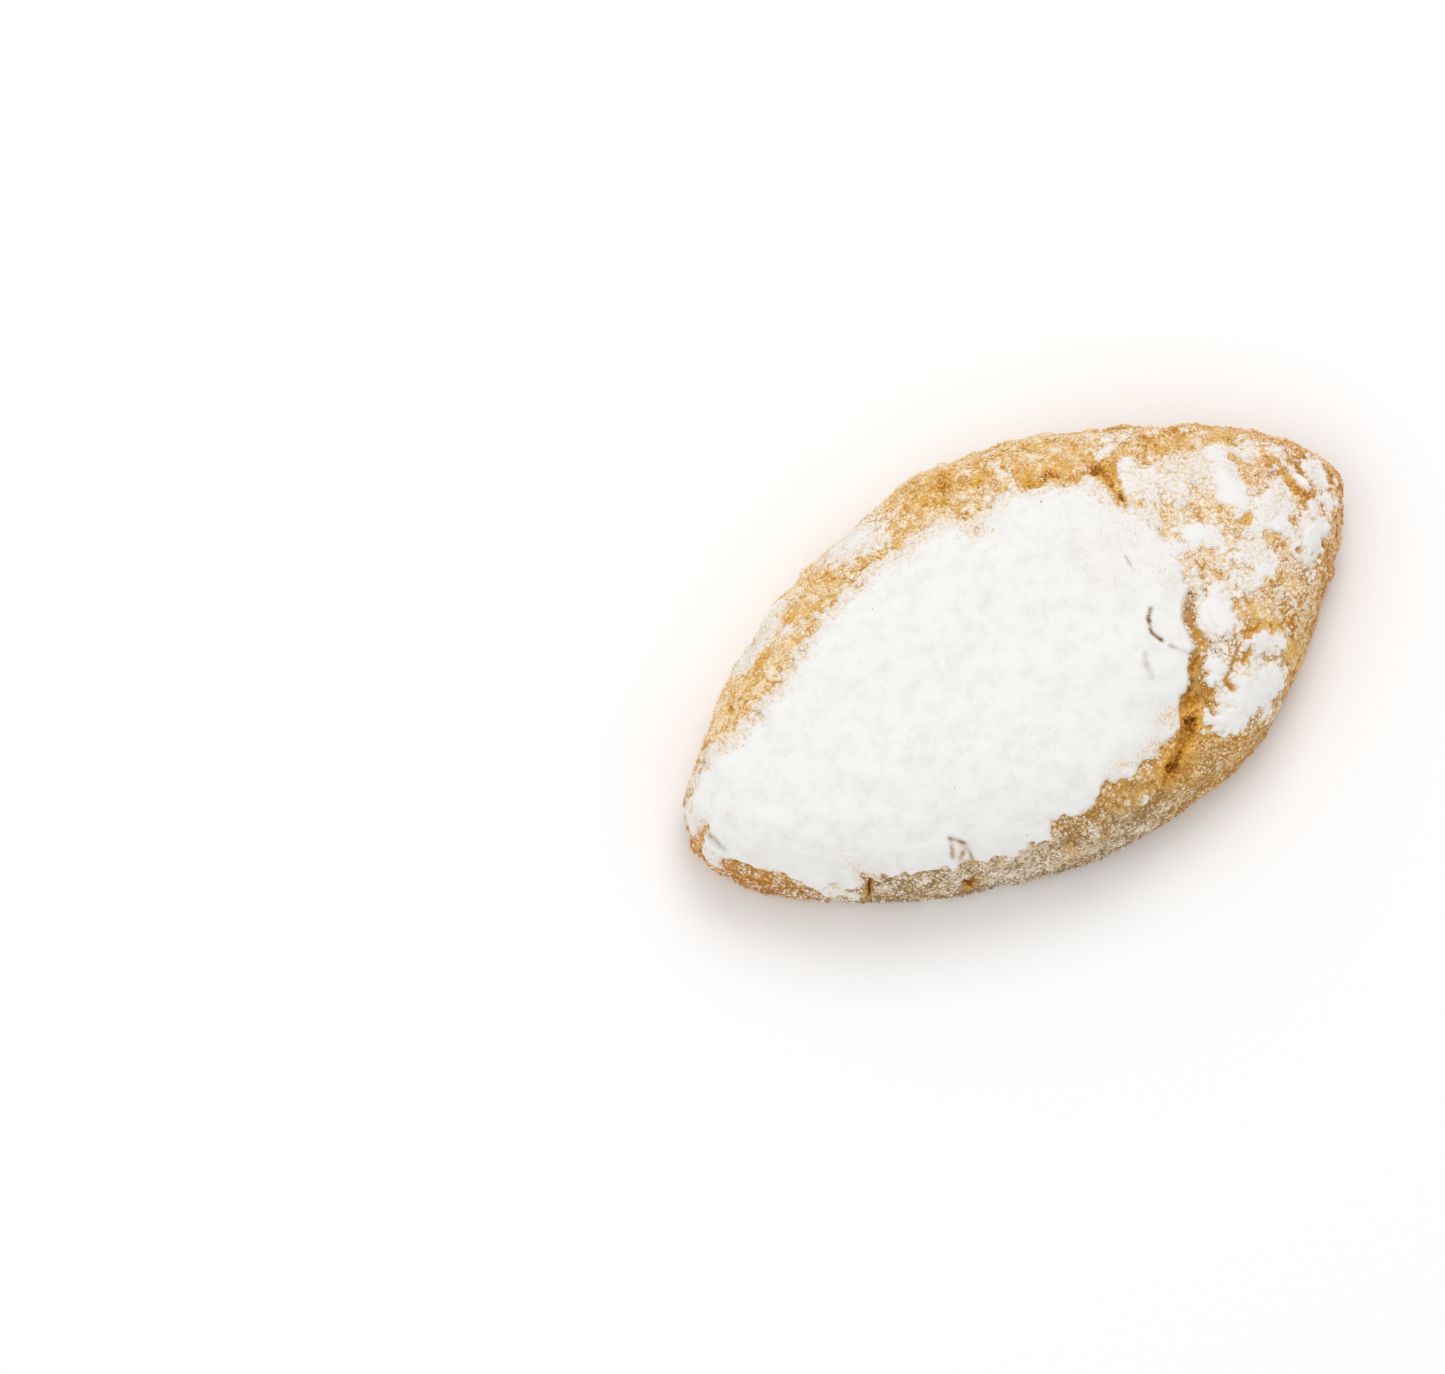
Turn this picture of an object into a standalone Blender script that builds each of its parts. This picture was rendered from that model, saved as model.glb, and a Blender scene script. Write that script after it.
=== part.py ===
"""Almond macaroon: a soft almond biscuit, pointed at both ends and flat underneath.

Its cracked crust carries a broken sheet of icing sugar that was pressed on before baking.
The biscuit is one solid, and the edge of the sugar, the cracks and the pits are relief in it.
Sizes are in millimetres until the mesh is placed. +X is the long way and +Z is up.
"""

import bpy
import numpy as np

MM = 0.001

# Overall form
HALF_LENGTH = 40.3
HALF_WIDTH = 22.75
HEIGHT = 17.0
BELLY_HEIGHT = 4.5  # level of the widest outline
FOOT_INSET = 2.2  # how far the flat foot lies inside the widest outline
TIP_RADIUS = 2.5  # length over which each point is rounded off, seen from above
TIP_CUT = 1.0  # how far the point would run on if it were sharp
TIP_LIFT = 3.0  # length over which the foot lifts towards each tip
SIDE_SQUARENESS = 2.6  # powers of the cross-section: 2 is an ellipse, more is boxier
TOP_SQUARENESS = 2.3
CREST_POWER = 3.0  # how late the crest falls towards the tips
CREST_SHARPNESS = 0.5

# Outline seen from above: 1 - (x / sharp half length) ** power, raised to the sharpness of the point
OUTLINE = {
    ("far", "left"): (1.88, 0.74),
    ("far", "right"): (2.07, 0.79),
    ("near", "left"): (1.88, 0.77),
    ("near", "right"): (2.22, 0.94),
}
TIP_BEND = {"left": -0.3, "right": 0.9}  # each point strays sideways from the long axis
BEND_START = 15.0
# Swells and hollows of the outline: side, station along X, how far out, half length of the swell
SWELLS = (
    ("far", 1.0, 0.7, 4.3), ("far", 27.0, -1.1, 11.0), ("far", -17.0, -0.4, 10.0),
    ("near", 19.0, 0.6, 11.0), ("near", -12.0, -0.6, 8.0),
)

# Sheet of icing sugar: its torn edge from above, and how high it stands over the crust
SHEET_EDGE = (
    (-38.3, -0.2), (-38.2, 0.6), (-38.9, 1.4), (-38.9, 3.0), (-38.2, 4.4), (-36.9, 6.0), (-33.9, 6.4),
    (-31.9, 6.7), (-29.5, 7.4), (-27.3, 8.6), (-25.5, 8.7), (-24.5, 9.6), (-20.9, 11.1), (-17.9, 12.5),
    (-15.1, 13.6),
    (-11.3, 14.3), (-8.3, 14.8), (-5.3, 15.3), (-1.9, 15.8), (0.1, 15.5), (1.0, 13.5), (1.7, 12.3),
    (2.9, 13.4), (4.9, 14.3), (6.9, 14.5), (9.1, 13.5), (12.3, 12.1), (14.5, 11.8), (15.2, 9.6),
    (15.9, 7.5), (17.7, 6.2), (18.6, 1.4), (17.9, -4.0), (16.7, -6.0), (15.6, -7.5), (15.6, -10.2),
    (14.2, -11.1), (12.6, -13.7), (10.9, -15.0), (10.3, -16.1), (7.9, -17.5), (4.1, -18.2), (1.5, -18.4),
    (0.1, -18.0), (-1.7, -18.8), (-3.3, -19.5), (-4.6, -18.9), (-5.8, -18.0), (-7.2, -18.0), (-7.8, -19.6),
    (-8.9, -19.8), (-10.3, -19.3), (-12.3, -19.1), (-14.3, -18.3), (-15.9, -17.7), (-16.6, -17.5),
    (-18.6, -17.3), (-20.6, -16.7), (-22.4, -15.7), (-23.2, -14.9), (-24.0, -15.0), (-25.9, -13.9),
    (-26.9, -12.9), (-28.2, -13.5), (-30.3, -12.2), (-32.3, -10.8), (-34.3, -8.8), (-36.6, -6.2),
    (-38.1, -4.1), (-39.2, -2.6), (-39.8, -1.4), (-39.4, -0.7),
)
SHEET_HEIGHT = 0.5
SHEET_SLOPE = 0.7  # width of the step at its edge
TEAR_SIZES = (1.5, 3.0)  # the edge wanders by tears about these long
TEAR_SEEDS = (5, 6)
TEAR_DEPTH = 0.35
# Loose plates of sugar on the right-hand end: centre x, y, half length, half width
PLATES = (
    (19.1, -8.5, 2.2, 2.5), (16.3, -13.2, 1.5, 1.9), (14.9, -17.7, 2.6, 1.6), (18.1, -16.7, 3.0, 2.1),
    (21.3, -15.8, 2.4, 1.3), (22.0, -13.0, 1.4, 1.2), (22.1, 0.4, 1.6, 1.6), (27.6, 4.0, 1.9, 3.4),
    (30.5, -2.5, 0.9, 1.7), (32.7, -5.2, 1.6, 1.6), (38.0, 0.4, 0.9, 2.2), (35.2, 1.3, 0.5, 1.4),
    (30.6, 0.8, 1.2, 0.7), (28.0, 7.9, 0.8, 0.8),
)

# Cracks and torn hollows: the line from above, half width, depth
CRACKS = {
    "main crack": (((17.0, -6.3), (16.5, -7.2), (16.3, -8.7), (16.5, -10.0), (16.3, -10.8)), 0.62, 1.0),
    "main crack, upper end": (((18.0, -5.0), (17.5, -5.6), (17.0, -6.3)), 0.4, 0.4),
    "main crack, lower run": (
        ((16.3, -10.8), (15.1, -11.2), (14.3, -12.1),
         (13.6, -13.2), (12.9, -14.4), (12.2, -15.2)),
        0.75,
        0.8,
    ),
    "torn side": (((12.2, -15.2), (11.2, -16.8), (10.1, -18.1)), 1.3, 0.45),
    "torn side, dark slit": (((10.1, -18.4), (8.4, -19.2), (7.1, -19.8), (5.7, -20.6)), 0.4, 0.45),
    "far crack": (((11.7, 14.0), (12.7, 13.2), (14.3, 12.5), (15.9, 12.2)), 0.4, 0.5),
    "far crack, inner run": (((16.8, 12.8), (16.7, 10.6), (16.6, 9.2), (16.9, 7.6), (16.8, 6.8)), 0.4, 0.35),
    "tip hollow": (((34.2, 2.4), (34.0, 1.2), (34.4, 0.0), (35.2, -0.8)), 0.55, 0.4),
    "tip hollow, end": (((34.0, 2.6), (33.2, 2.8), (32.4, 2.5)), 0.4, 0.5),
    "end crack": (((21.2, -11.2), (22.3, -11.5), (23.4, -11.1)), 0.4, 0.5),
    "end crack, lower": (((20.9, -12.9), (20.3, -13.6), (19.4, -13.9)), 0.4, 0.5),
    "end crack, edge": (((17.9, -14.0), (16.7, -14.7), (17.0, -15.7)), 0.4, 0.5),
    "notch": (((-28.0, -14.9), (-27.3, -14.6), (-26.7, -13.9)), 0.45, 1.3),
    "chipped edge, hollow": (((-17.7, -18.6), (-16.8, -19.3)), 0.4, 1.1),
    "far hollow": (((1.3, 19.2), (2.3, 20.8)), 1.0, 0.4),
}
CRACK_FLOOR = (3.0, 6.5)  # levels between which the cracks and pits run out down the sides
CRACK_CLOSING = (4.0, 10.0)  # levels between which they narrow to the share of their width below
CRACK_CLOSED = 0.45
CRACK_WALL = (0.35, 1.15)  # shares of a crack's half width between which its wall rises
PIT_WALL = (0.1, 1.15)  # the same for a pit's radius
WANDER = 0.28  # how far the walls of the cracks and pits wander
WANDER_SIZE = 1.6
WANDER_SEED = 3
# Pits in the bare crust: centre x, y, radius, depth
PITS = (
    (11.0, -16.8, 0.7, 1.1), (7.1, -19.8, 0.8, 0.9), (16.0, 11.9, 0.6, 0.55), (11.2, 14.2, 0.6, 0.6),
    (0.3, -20.4, 0.6, 0.7), (-2.1, -21.6, 0.6, 0.6), (1.6, -22.2, 0.6, 0.7), (-9.3, -21.9, 0.6, 0.6),
    (-5.9, -21.1, 1.0, 0.4), (-19.2, 15.8, 0.8, 0.5), (-20.6, 15.0, 0.6, 0.4), (-24.2, 12.8, 0.6, 0.4),
    (-30.3, 10.0, 0.6, 0.4), (-3.1, 19.4, 0.9, 0.5), (-1.3, 18.8, 0.6, 0.6), (5.1, 17.4, 0.6, 0.5),
    (3.8, 18.6, 0.6, 0.5), (25.5, 10.8, 0.6, 0.5), (28.5, -0.2, 0.6, 0.5), (34.4, 0.8, 0.6, 0.4),
    (24.3, -11.8, 0.6, 0.7), (-39.5, -0.3, 0.6, 0.4), (28.0, -2.5, 0.6, 0.4), (32.9, 2.5, 0.6, 0.5),
    (-23.2, -16.1, 0.6, 0.5), (-20.6, -17.9, 0.6, 0.5), (7.0, 15.8, 0.6, 0.4),
)

# Unevenness of the baked dough: size of the lumps and how far they stand out
LUMP_SIZE = 9.0
LUMP_HEIGHT = 0.42
LUMP_SEED = 1
CRAG_SIZE = 2.4
CRAG_HEIGHT = 0.34
CRAG_SEED = 2
CRAGS_UNDER_SUGAR = 0.2  # share of the crags' height that still shows through the sugar
RELIEF_START = (0.05, 1.6)  # levels between which the unevenness grows from nothing at the foot

# Facets
STATIONS = 100  # rings along the length
TOP_ROWS = 49  # points of each ring above the belly
UPPER_SHARE = 0.74  # share of each ring, as it is counted from 0 to 1, that lies above the belly
KNEE_SHARE = 0.22  # share of the rest that each rounded foot edge takes
KNEE_STEPS = 3  # facets round each foot edge
CRACKED_STATION = 15.0  # the facets are smallest round this station, where the cracks are
CRACKED_SPREAD = 14.0
CRACKED_CROWDING = 0.9  # how many more facets there are than elsewhere, as a share
TIP_CROWDING = 4.0
# Bands of the top with more rows: middle Y, half width, how many more
BANDS = ((-14.0, 7.0, 0.9), (15.0, 5.0, 0.4))
FINE_STEPS = 4000  # steps by which the spacing is worked out

CRUST_COLOUR = (0.62, 0.38, 0.13, 1.0)
CRUST_ROUGHNESS = 0.8
SUGAR_COLOUR = (0.90, 0.89, 0.87, 1.0)
SUGAR_ROUGHNESS = 0.95


def blend(start, end, x):
    """0 before start, 1 after end, and a smooth S between them."""
    t = np.clip((x - start) / (end - start), 0, 1)
    return t * t * (3 - 2 * t)


def lattice_value(cell, seed):
    """A random number in -1..1 for each whole-numbered cell corner, the same on every run."""
    mixed = cell[..., 0] * 73856093 ^ cell[..., 1] * 19349663 ^ cell[..., 2] * 83492791 ^ seed * 2654435
    mixed = (mixed ^ (mixed >> 13)) * 1274126177 & 0x7FFFFFFF
    mixed = (mixed ^ (mixed >> 15)) * 40503 & 0x7FFFFFFF
    return (mixed ^ (mixed >> 11)) % 65536 / 32767.5 - 1


def noise(points, size, seed):
    """Smooth random relief in about -1..1 whose bumps are size across: corner values blended in each cell."""
    scaled = points / size
    cell = np.floor(scaled).astype(np.int64)
    t = scaled - cell
    t = t * t * t * (t * (t * 6 - 15) + 10)
    total = 0
    for corner in np.ndindex(2, 2, 2):
        weight = np.prod(np.where(corner, t, 1 - t), axis=-1)
        total = total + weight * lattice_value(cell + corner, seed)
    return total


def spine(x):
    """Sideways stray of the long axis at station x."""
    right = TIP_BEND["right"] * blend(BEND_START, HALF_LENGTH, x)
    left = TIP_BEND["left"] * blend(BEND_START, HALF_LENGTH, -x)
    return right + left


def half_width(x, side):
    """Distance from the spine to the outline at station x, on the far (+Y) or near (-Y) side."""
    share = np.abs(x) / (HALF_LENGTH + TIP_CUT)
    left_power, left_sharpness = OUTLINE[side, "left"]
    right_power, right_sharpness = OUTLINE[side, "right"]
    power = np.where(x < 0, left_power, right_power)
    sharpness = np.where(x < 0, left_sharpness, right_sharpness)
    width = HALF_WIDTH * (1 - share**power) ** sharpness
    past = np.clip((np.abs(x) - HALF_LENGTH + TIP_RADIUS) / TIP_RADIUS, 0, 1)
    nose = np.sqrt(1 - past**2)
    for swell_side, station, out, half_long in SWELLS:
        if swell_side == side:
            width = width + out * np.exp(-(((x - station) / half_long) ** 2))
    return width * nose


def section(x, ring):
    """(y, z, outward y, outward z) at station x, with ring running 0..1 once round.

    Above the belly it is half a superellipse from the far side over the crest to the near side.
    Below it are a quarter ellipse in under the near side, the flat foot and a quarter ellipse out again.
    """
    upper = ring <= UPPER_SHARE
    turn = np.pi * np.clip(ring / UPPER_SHARE, 0, 1)
    across = np.cos(turn)
    up = np.sin(turn)
    far = half_width(x, "far")
    near = half_width(x, "near")
    width = np.where(across > 0, far, near)
    share = np.clip(np.abs(x) / HALF_LENGTH, 0, 1)
    rise = (HEIGHT - BELLY_HEIGHT) * (1 - share**CREST_POWER) ** CREST_SHARPNESS
    y_top = width * np.sign(across) * np.abs(across) ** (2 / SIDE_SQUARENESS)
    z_top = BELLY_HEIGHT + rise * np.abs(up) ** (2 / TOP_SQUARENESS)

    below = np.clip((ring - UPPER_SHARE) / (1 - UPPER_SHARE), 0, 1)
    near_knee = np.clip(below / KNEE_SHARE, 0, 1)
    far_knee = np.clip((1 - below) / KNEE_SHARE, 0, 1)
    flat = np.clip((below - KNEE_SHARE) / (1 - 2 * KNEE_SHARE), 0, 1)
    lift = np.clip((np.abs(x) - HALF_LENGTH + TIP_LIFT) / TIP_LIFT, 0, 1)
    foot = BELLY_HEIGHT * (1 - np.sqrt(1 - lift**2))
    near_foot = near - np.minimum(FOOT_INSET, near)
    far_foot = far - np.minimum(FOOT_INSET, far)
    knee = np.pi / 2 * np.minimum(near_knee, far_knee)
    y_near = -(near_foot + (near - near_foot) * np.cos(knee))
    y_far = far_foot + (far - far_foot) * np.cos(knee)
    y_flat = -near_foot + (near_foot + far_foot) * flat
    y_low = np.where(near_knee < 1, y_near, np.where(far_knee < 1, y_far, y_flat))
    z_low = BELLY_HEIGHT - (BELLY_HEIGHT - foot) * np.sin(knee)

    out_y = np.sign(across) * np.abs(across) ** (2 - 2 / SIDE_SQUARENESS) / np.maximum(width, 1)
    out_z = np.abs(up) ** (2 - 2 / TOP_SQUARENESS) / np.maximum(rise, 1)
    length = np.sqrt(out_y**2 + out_z**2) + 1e-9
    out_low = np.where(near_knee < 1, -1, 1) * np.cos(knee)
    y = np.where(upper, y_top, y_low) + spine(x)
    z = np.where(upper, z_top, z_low)
    return y, z, np.where(upper, out_y / length, out_low), np.where(upper, out_z / length, 0)


def distance_to_line(x, y, line):
    """Shortest distance in plan from each point to a line of straight runs."""
    nearest = np.full(x.shape, np.inf)
    for (x0, y0), (x1, y1) in zip(line[:-1], line[1:]):
        run_x = x1 - x0
        run_y = y1 - y0
        along = ((x - x0) * run_x + (y - y0) * run_y) / (run_x**2 + run_y**2)
        along = np.clip(along, 0, 1)
        nearest = np.minimum(nearest, np.hypot(x - x0 - along * run_x, y - y0 - along * run_y))
    return nearest


def distance_inside(x, y, edge):
    """Distance in plan to a closed edge, positive inside it."""
    closed = edge + edge[:1]
    inside = np.zeros(x.shape, bool)
    for (x0, y0), (x1, y1) in zip(closed[:-1], closed[1:]):
        crosses = (y0 > y) != (y1 > y)
        if y0 != y1:
            inside ^= crosses & (x < x0 + (y - y0) / (y1 - y0) * (x1 - x0))
    return np.where(inside, 1, -1) * distance_to_line(x, y, closed)


def sugar_cover(x, y, z):
    """0 on bare crust and 1 on the sugar: the torn sheet, and the loose plates beside it."""
    points = np.stack([x, y, z], axis=-1)
    tear = 0
    for size, seed in zip(TEAR_SIZES, TEAR_SEEDS):
        tear = tear + TEAR_DEPTH * noise(points, size, seed)
    inside = distance_inside(x, y, SHEET_EDGE) + tear
    for centre_x, centre_y, half_x, half_y in PLATES:
        reach = np.hypot((x - centre_x) / half_x, (y - centre_y) / half_y)
        inside = np.maximum(inside, (1 - reach) * min(half_x, half_y) + tear)
    return blend(-SHEET_SLOPE / 2, SHEET_SLOPE / 2, inside)


def relief(x, y, z):
    """How far the surface stands out from the smooth form, with cracks and pits as negative depths."""
    points = np.stack([x, y, z], axis=-1)
    sugar = sugar_cover(x, y, z)
    lumps = LUMP_HEIGHT * noise(points, LUMP_SIZE, LUMP_SEED)
    crags = CRAG_HEIGHT * noise(points, CRAG_SIZE, CRAG_SEED) * (1 - (1 - CRAGS_UNDER_SUGAR) * sugar)
    wander = WANDER * noise(points, WANDER_SIZE, WANDER_SEED)
    closing = CRACK_CLOSED + (1 - CRACK_CLOSED) * blend(*CRACK_CLOSING, z)
    torn = np.zeros(x.shape)
    for line, half_wide, depth in CRACKS.values():
        reach = (distance_to_line(x, y, line) + wander * min(1, half_wide)) / (half_wide * closing)
        torn = np.maximum(torn, depth * (1 - blend(*CRACK_WALL, reach)))
    for centre_x, centre_y, radius, depth in PITS:
        reach = (np.hypot(x - centre_x, y - centre_y) + wander) / radius
        torn = np.maximum(torn, depth * (1 - blend(*PIT_WALL, reach)))
    return lumps + crags + SHEET_HEIGHT * sugar - torn * blend(*CRACK_FLOOR, z)


def make_material(name, colour, roughness):
    material = bpy.data.materials.new(name)
    material.use_nodes = True
    shader = material.node_tree.nodes["Principled BSDF"]
    shader.inputs["Base Color"].default_value = colour
    shader.inputs["Roughness"].default_value = roughness
    shader.inputs["Metallic"].default_value = 0.0
    material.diffuse_color = colour
    return material


def biscuit_points(x, ring):
    """Points of the finished surface at stations x and places ring, as rows of (x, y, z)."""
    y, z, out_y, out_z = section(x, ring)
    stand_out = relief(x, y, z) * blend(*RELIEF_START, z)
    return np.stack([x, y + out_y * stand_out, z + out_z * stand_out], axis=-1)


def spread(places, weight, count):
    """count of the places, from the first to the last, closer together where weight is larger."""
    passed = np.cumsum(weight)
    passed = (passed - passed[0]) / (passed[-1] - passed[0])
    return np.interp(np.linspace(0, 1, count), passed, places)


def station_line():
    """Stations of the rings, crowded at the tips and over the cracks. The tips themselves have no ring."""
    x = np.linspace(-HALF_LENGTH, HALF_LENGTH, FINE_STEPS)
    tips = TIP_CROWDING * np.exp((np.abs(x) - HALF_LENGTH) / TIP_RADIUS)
    cracked = CRACKED_CROWDING * np.exp(-(((x - CRACKED_STATION) / CRACKED_SPREAD) ** 2))
    return spread(x, 1 + tips + cracked, STATIONS + 2)[1:-1]


def ring_line():
    """Places 0..1 round a ring: even steps over the top with more rows in the bands, then the foot."""
    ring = np.linspace(0, UPPER_SHARE, FINE_STEPS)
    y, z, _, _ = section(np.full(ring.shape, CRACKED_STATION), ring)
    crowding = np.ones(ring.shape)
    for middle, half_wide, more in BANDS:
        crowding = crowding + more * np.exp(-(((y - middle) / half_wide) ** 2))
    top = spread(ring, np.hypot(np.gradient(y), np.gradient(z)) * crowding, TOP_ROWS + 1)[:-1]
    near_knee = np.linspace(0, KNEE_SHARE, KNEE_STEPS + 1)
    below = np.concatenate([near_knee, [0.5], 1 - near_knee[:0:-1]])
    return np.concatenate([top, UPPER_SHARE + (1 - UPPER_SHARE) * below])


def facets_of(points, middles):
    """Splits each cell of the lattice into two facets along the diagonal that lies closer to its middle."""
    stations, rows = points.shape[:2]
    index = np.arange(stations * rows).reshape(stations, rows)
    following = np.roll(index, -1, axis=1)
    corners = np.stack([index[:-1], following[:-1], following[1:], index[1:]], axis=-1)
    at = points.reshape(-1, 3)[corners]
    first = np.linalg.norm((at[..., 0, :] + at[..., 2, :]) / 2 - middles, axis=-1)
    second = np.linalg.norm((at[..., 1, :] + at[..., 3, :]) / 2 - middles, axis=-1)
    turn = first > second
    corners[turn] = np.roll(corners[turn], 1, axis=-1)
    corners = corners.reshape(-1, 4)
    left_tip = stations * rows
    left_fan = np.stack([np.full(rows, left_tip), following[0], index[0]], axis=-1)
    right_fan = np.stack([np.full(rows, left_tip + 1), index[-1], following[-1]], axis=-1)
    return np.concatenate([corners[:, [0, 1, 2]], corners[:, [0, 2, 3]], left_fan, right_fan])


def make_biscuit_mesh():
    """The whole biscuit as one closed mesh, and the point that stands at the middle of its box."""
    stations = station_line()
    ring = ring_line()
    x, place = np.meshgrid(stations, ring, indexing="ij")
    points = biscuit_points(x, place)
    next_place = np.append(ring[1:], 1.0)
    middle_x, middle_place = np.meshgrid(
        (stations[:-1] + stations[1:]) / 2, (ring + next_place) / 2, indexing="ij"
    )
    facets = facets_of(points, biscuit_points(middle_x, middle_place))
    tips = [(end, spine(end), BELLY_HEIGHT) for end in (-HALF_LENGTH, HALF_LENGTH)]
    points = np.concatenate([points.reshape(-1, 3), tips])
    middle = (points.min(axis=0) + points.max(axis=0)) / 2
    middle[2] = 0
    mesh = bpy.data.meshes.new("macaroon")
    mesh.from_pydata(((points - middle) * MM).tolist(), [], facets.tolist())
    return mesh, middle


def colour_facets(mesh, middle):
    """Gives the facets under the sugar the second material."""
    centres = np.empty(len(mesh.polygons) * 3)
    mesh.polygons.foreach_get("center", centres)
    x, y, z = centres.reshape(-1, 3).T / MM + middle[:, None]
    sugared = (sugar_cover(x, y, z) > 0.5) & (z > BELLY_HEIGHT)
    mesh.polygons.foreach_set("material_index", sugared.astype(np.int32))


def main():
    for obj in list(bpy.data.objects):
        bpy.data.objects.remove(obj, do_unlink=True)
    collection = bpy.data.collections.new("Almond macaroon")
    bpy.context.scene.collection.children.link(collection)

    mesh, middle = make_biscuit_mesh()
    mesh.materials.append(make_material("baked almond crust", CRUST_COLOUR, CRUST_ROUGHNESS))
    mesh.materials.append(make_material("icing sugar", SUGAR_COLOUR, SUGAR_ROUGHNESS))
    colour_facets(mesh, middle)
    mesh.shade_smooth()
    collection.objects.link(bpy.data.objects.new("macaroon", mesh))


main()
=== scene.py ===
"""One almond macaroon under icing sugar, lying on a white table in soft studio light.

The baked biscuit is replaced by a fine surface of the same form, and the sugar on it is made as separate
shells and crumbs. Sizes are in millimetres until a mesh is written, which is in metres.
"""

import bpy
import numpy as np
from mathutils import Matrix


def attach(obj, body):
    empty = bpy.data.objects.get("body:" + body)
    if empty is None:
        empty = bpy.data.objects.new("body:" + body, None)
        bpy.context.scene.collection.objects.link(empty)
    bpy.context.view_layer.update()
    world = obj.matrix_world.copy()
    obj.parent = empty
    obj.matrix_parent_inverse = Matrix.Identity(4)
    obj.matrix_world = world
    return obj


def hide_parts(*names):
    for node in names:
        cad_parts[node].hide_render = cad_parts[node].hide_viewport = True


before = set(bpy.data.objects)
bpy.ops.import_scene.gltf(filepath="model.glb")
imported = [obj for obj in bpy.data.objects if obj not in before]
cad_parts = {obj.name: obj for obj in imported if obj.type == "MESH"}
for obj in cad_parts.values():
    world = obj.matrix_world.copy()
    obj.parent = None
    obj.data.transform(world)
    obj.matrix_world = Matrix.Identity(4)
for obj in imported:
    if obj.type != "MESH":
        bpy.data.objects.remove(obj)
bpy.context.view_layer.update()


# ---------- The biscuit ----------
# Soft dough of ground almonds, sugar and egg white, shaped by hand to a pointed oval and baked on a flat
# tray. The skin dries and tears as it swells, so the crust is craggy and the tears show the moist inside.

MM = 0.001
HALF_LENGTH = 40.3
HALF_WIDTH = 22.75
HEIGHT = 17.0
BELLY_HEIGHT = 4.5  # level of the widest outline
FOOT_INSET = 2.2  # how far the flat foot lies inside the widest outline
TIP_RADIUS = 2.5  # length over which each point is rounded off, seen from above
TIP_CUT = 1.0  # how far the point would run on if it were sharp
TIP_LIFT = 3.0  # length over which the foot lifts towards each tip
SIDE_SQUARENESS = 2.6  # powers of the cross-section: 2 is an ellipse, more is boxier
TOP_SQUARENESS = 2.3
CREST_POWER = 3.0  # how late the crest falls towards the tips
CREST_SHARPNESS = 0.5
# Power and sharpness of each quarter of the outline
OUTLINE = {
    ("far", "left"): (1.88, 0.74),
    ("far", "right"): (2.07, 0.79),
    ("near", "left"): (1.88, 0.77),
    ("near", "right"): (2.22, 0.94),
}
TIP_BEND = {"left": -0.3, "right": 0.9}  # each point strays sideways from the long axis
BEND_START = 15.0
KNEE_SHARE = 0.4  # of the ring's lower half, for each rounded edge between belly and foot
# The outline bulges or dips here: side, station, how far out, half length
SWELLS = (
    ("far", 1.0, 0.7, 4.3), ("far", 27.0, -1.1, 11.0), ("far", -17.0, -0.4, 10.0),
    ("near", 19.0, 0.6, 11.0), ("near", -12.0, -0.6, 8.0),
)


def blend(start, end, x):
    """0 before start, 1 after end, and a smooth S between them."""
    t = np.clip((x - start) / (end - start), 0, 1)
    return t * t * (3 - 2 * t)


def bell(distance, reach):
    """1 at distance 0, falling off on both sides: exp(-(distance / reach)^2)."""
    return np.exp(-((distance / reach) ** 2))


def half_width(x, side):
    """Distance from the spine to the outline: a rounded point raised to a power, with a few swells."""
    share = np.abs(x) / (HALF_LENGTH + TIP_CUT)
    power, sharpness = (np.where(x < 0, *pair) for pair in zip(OUTLINE[side, "left"], OUTLINE[side, "right"]))
    width = HALF_WIDTH * (1 - share**power) ** sharpness
    past = np.clip((np.abs(x) - HALF_LENGTH + TIP_RADIUS) / TIP_RADIUS, 0, 1)
    for swell_side, station, out, spread in SWELLS:
        if swell_side == side:
            width = width + out * bell(x - station, spread)
    return width * np.sqrt(1 - past**2)


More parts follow.
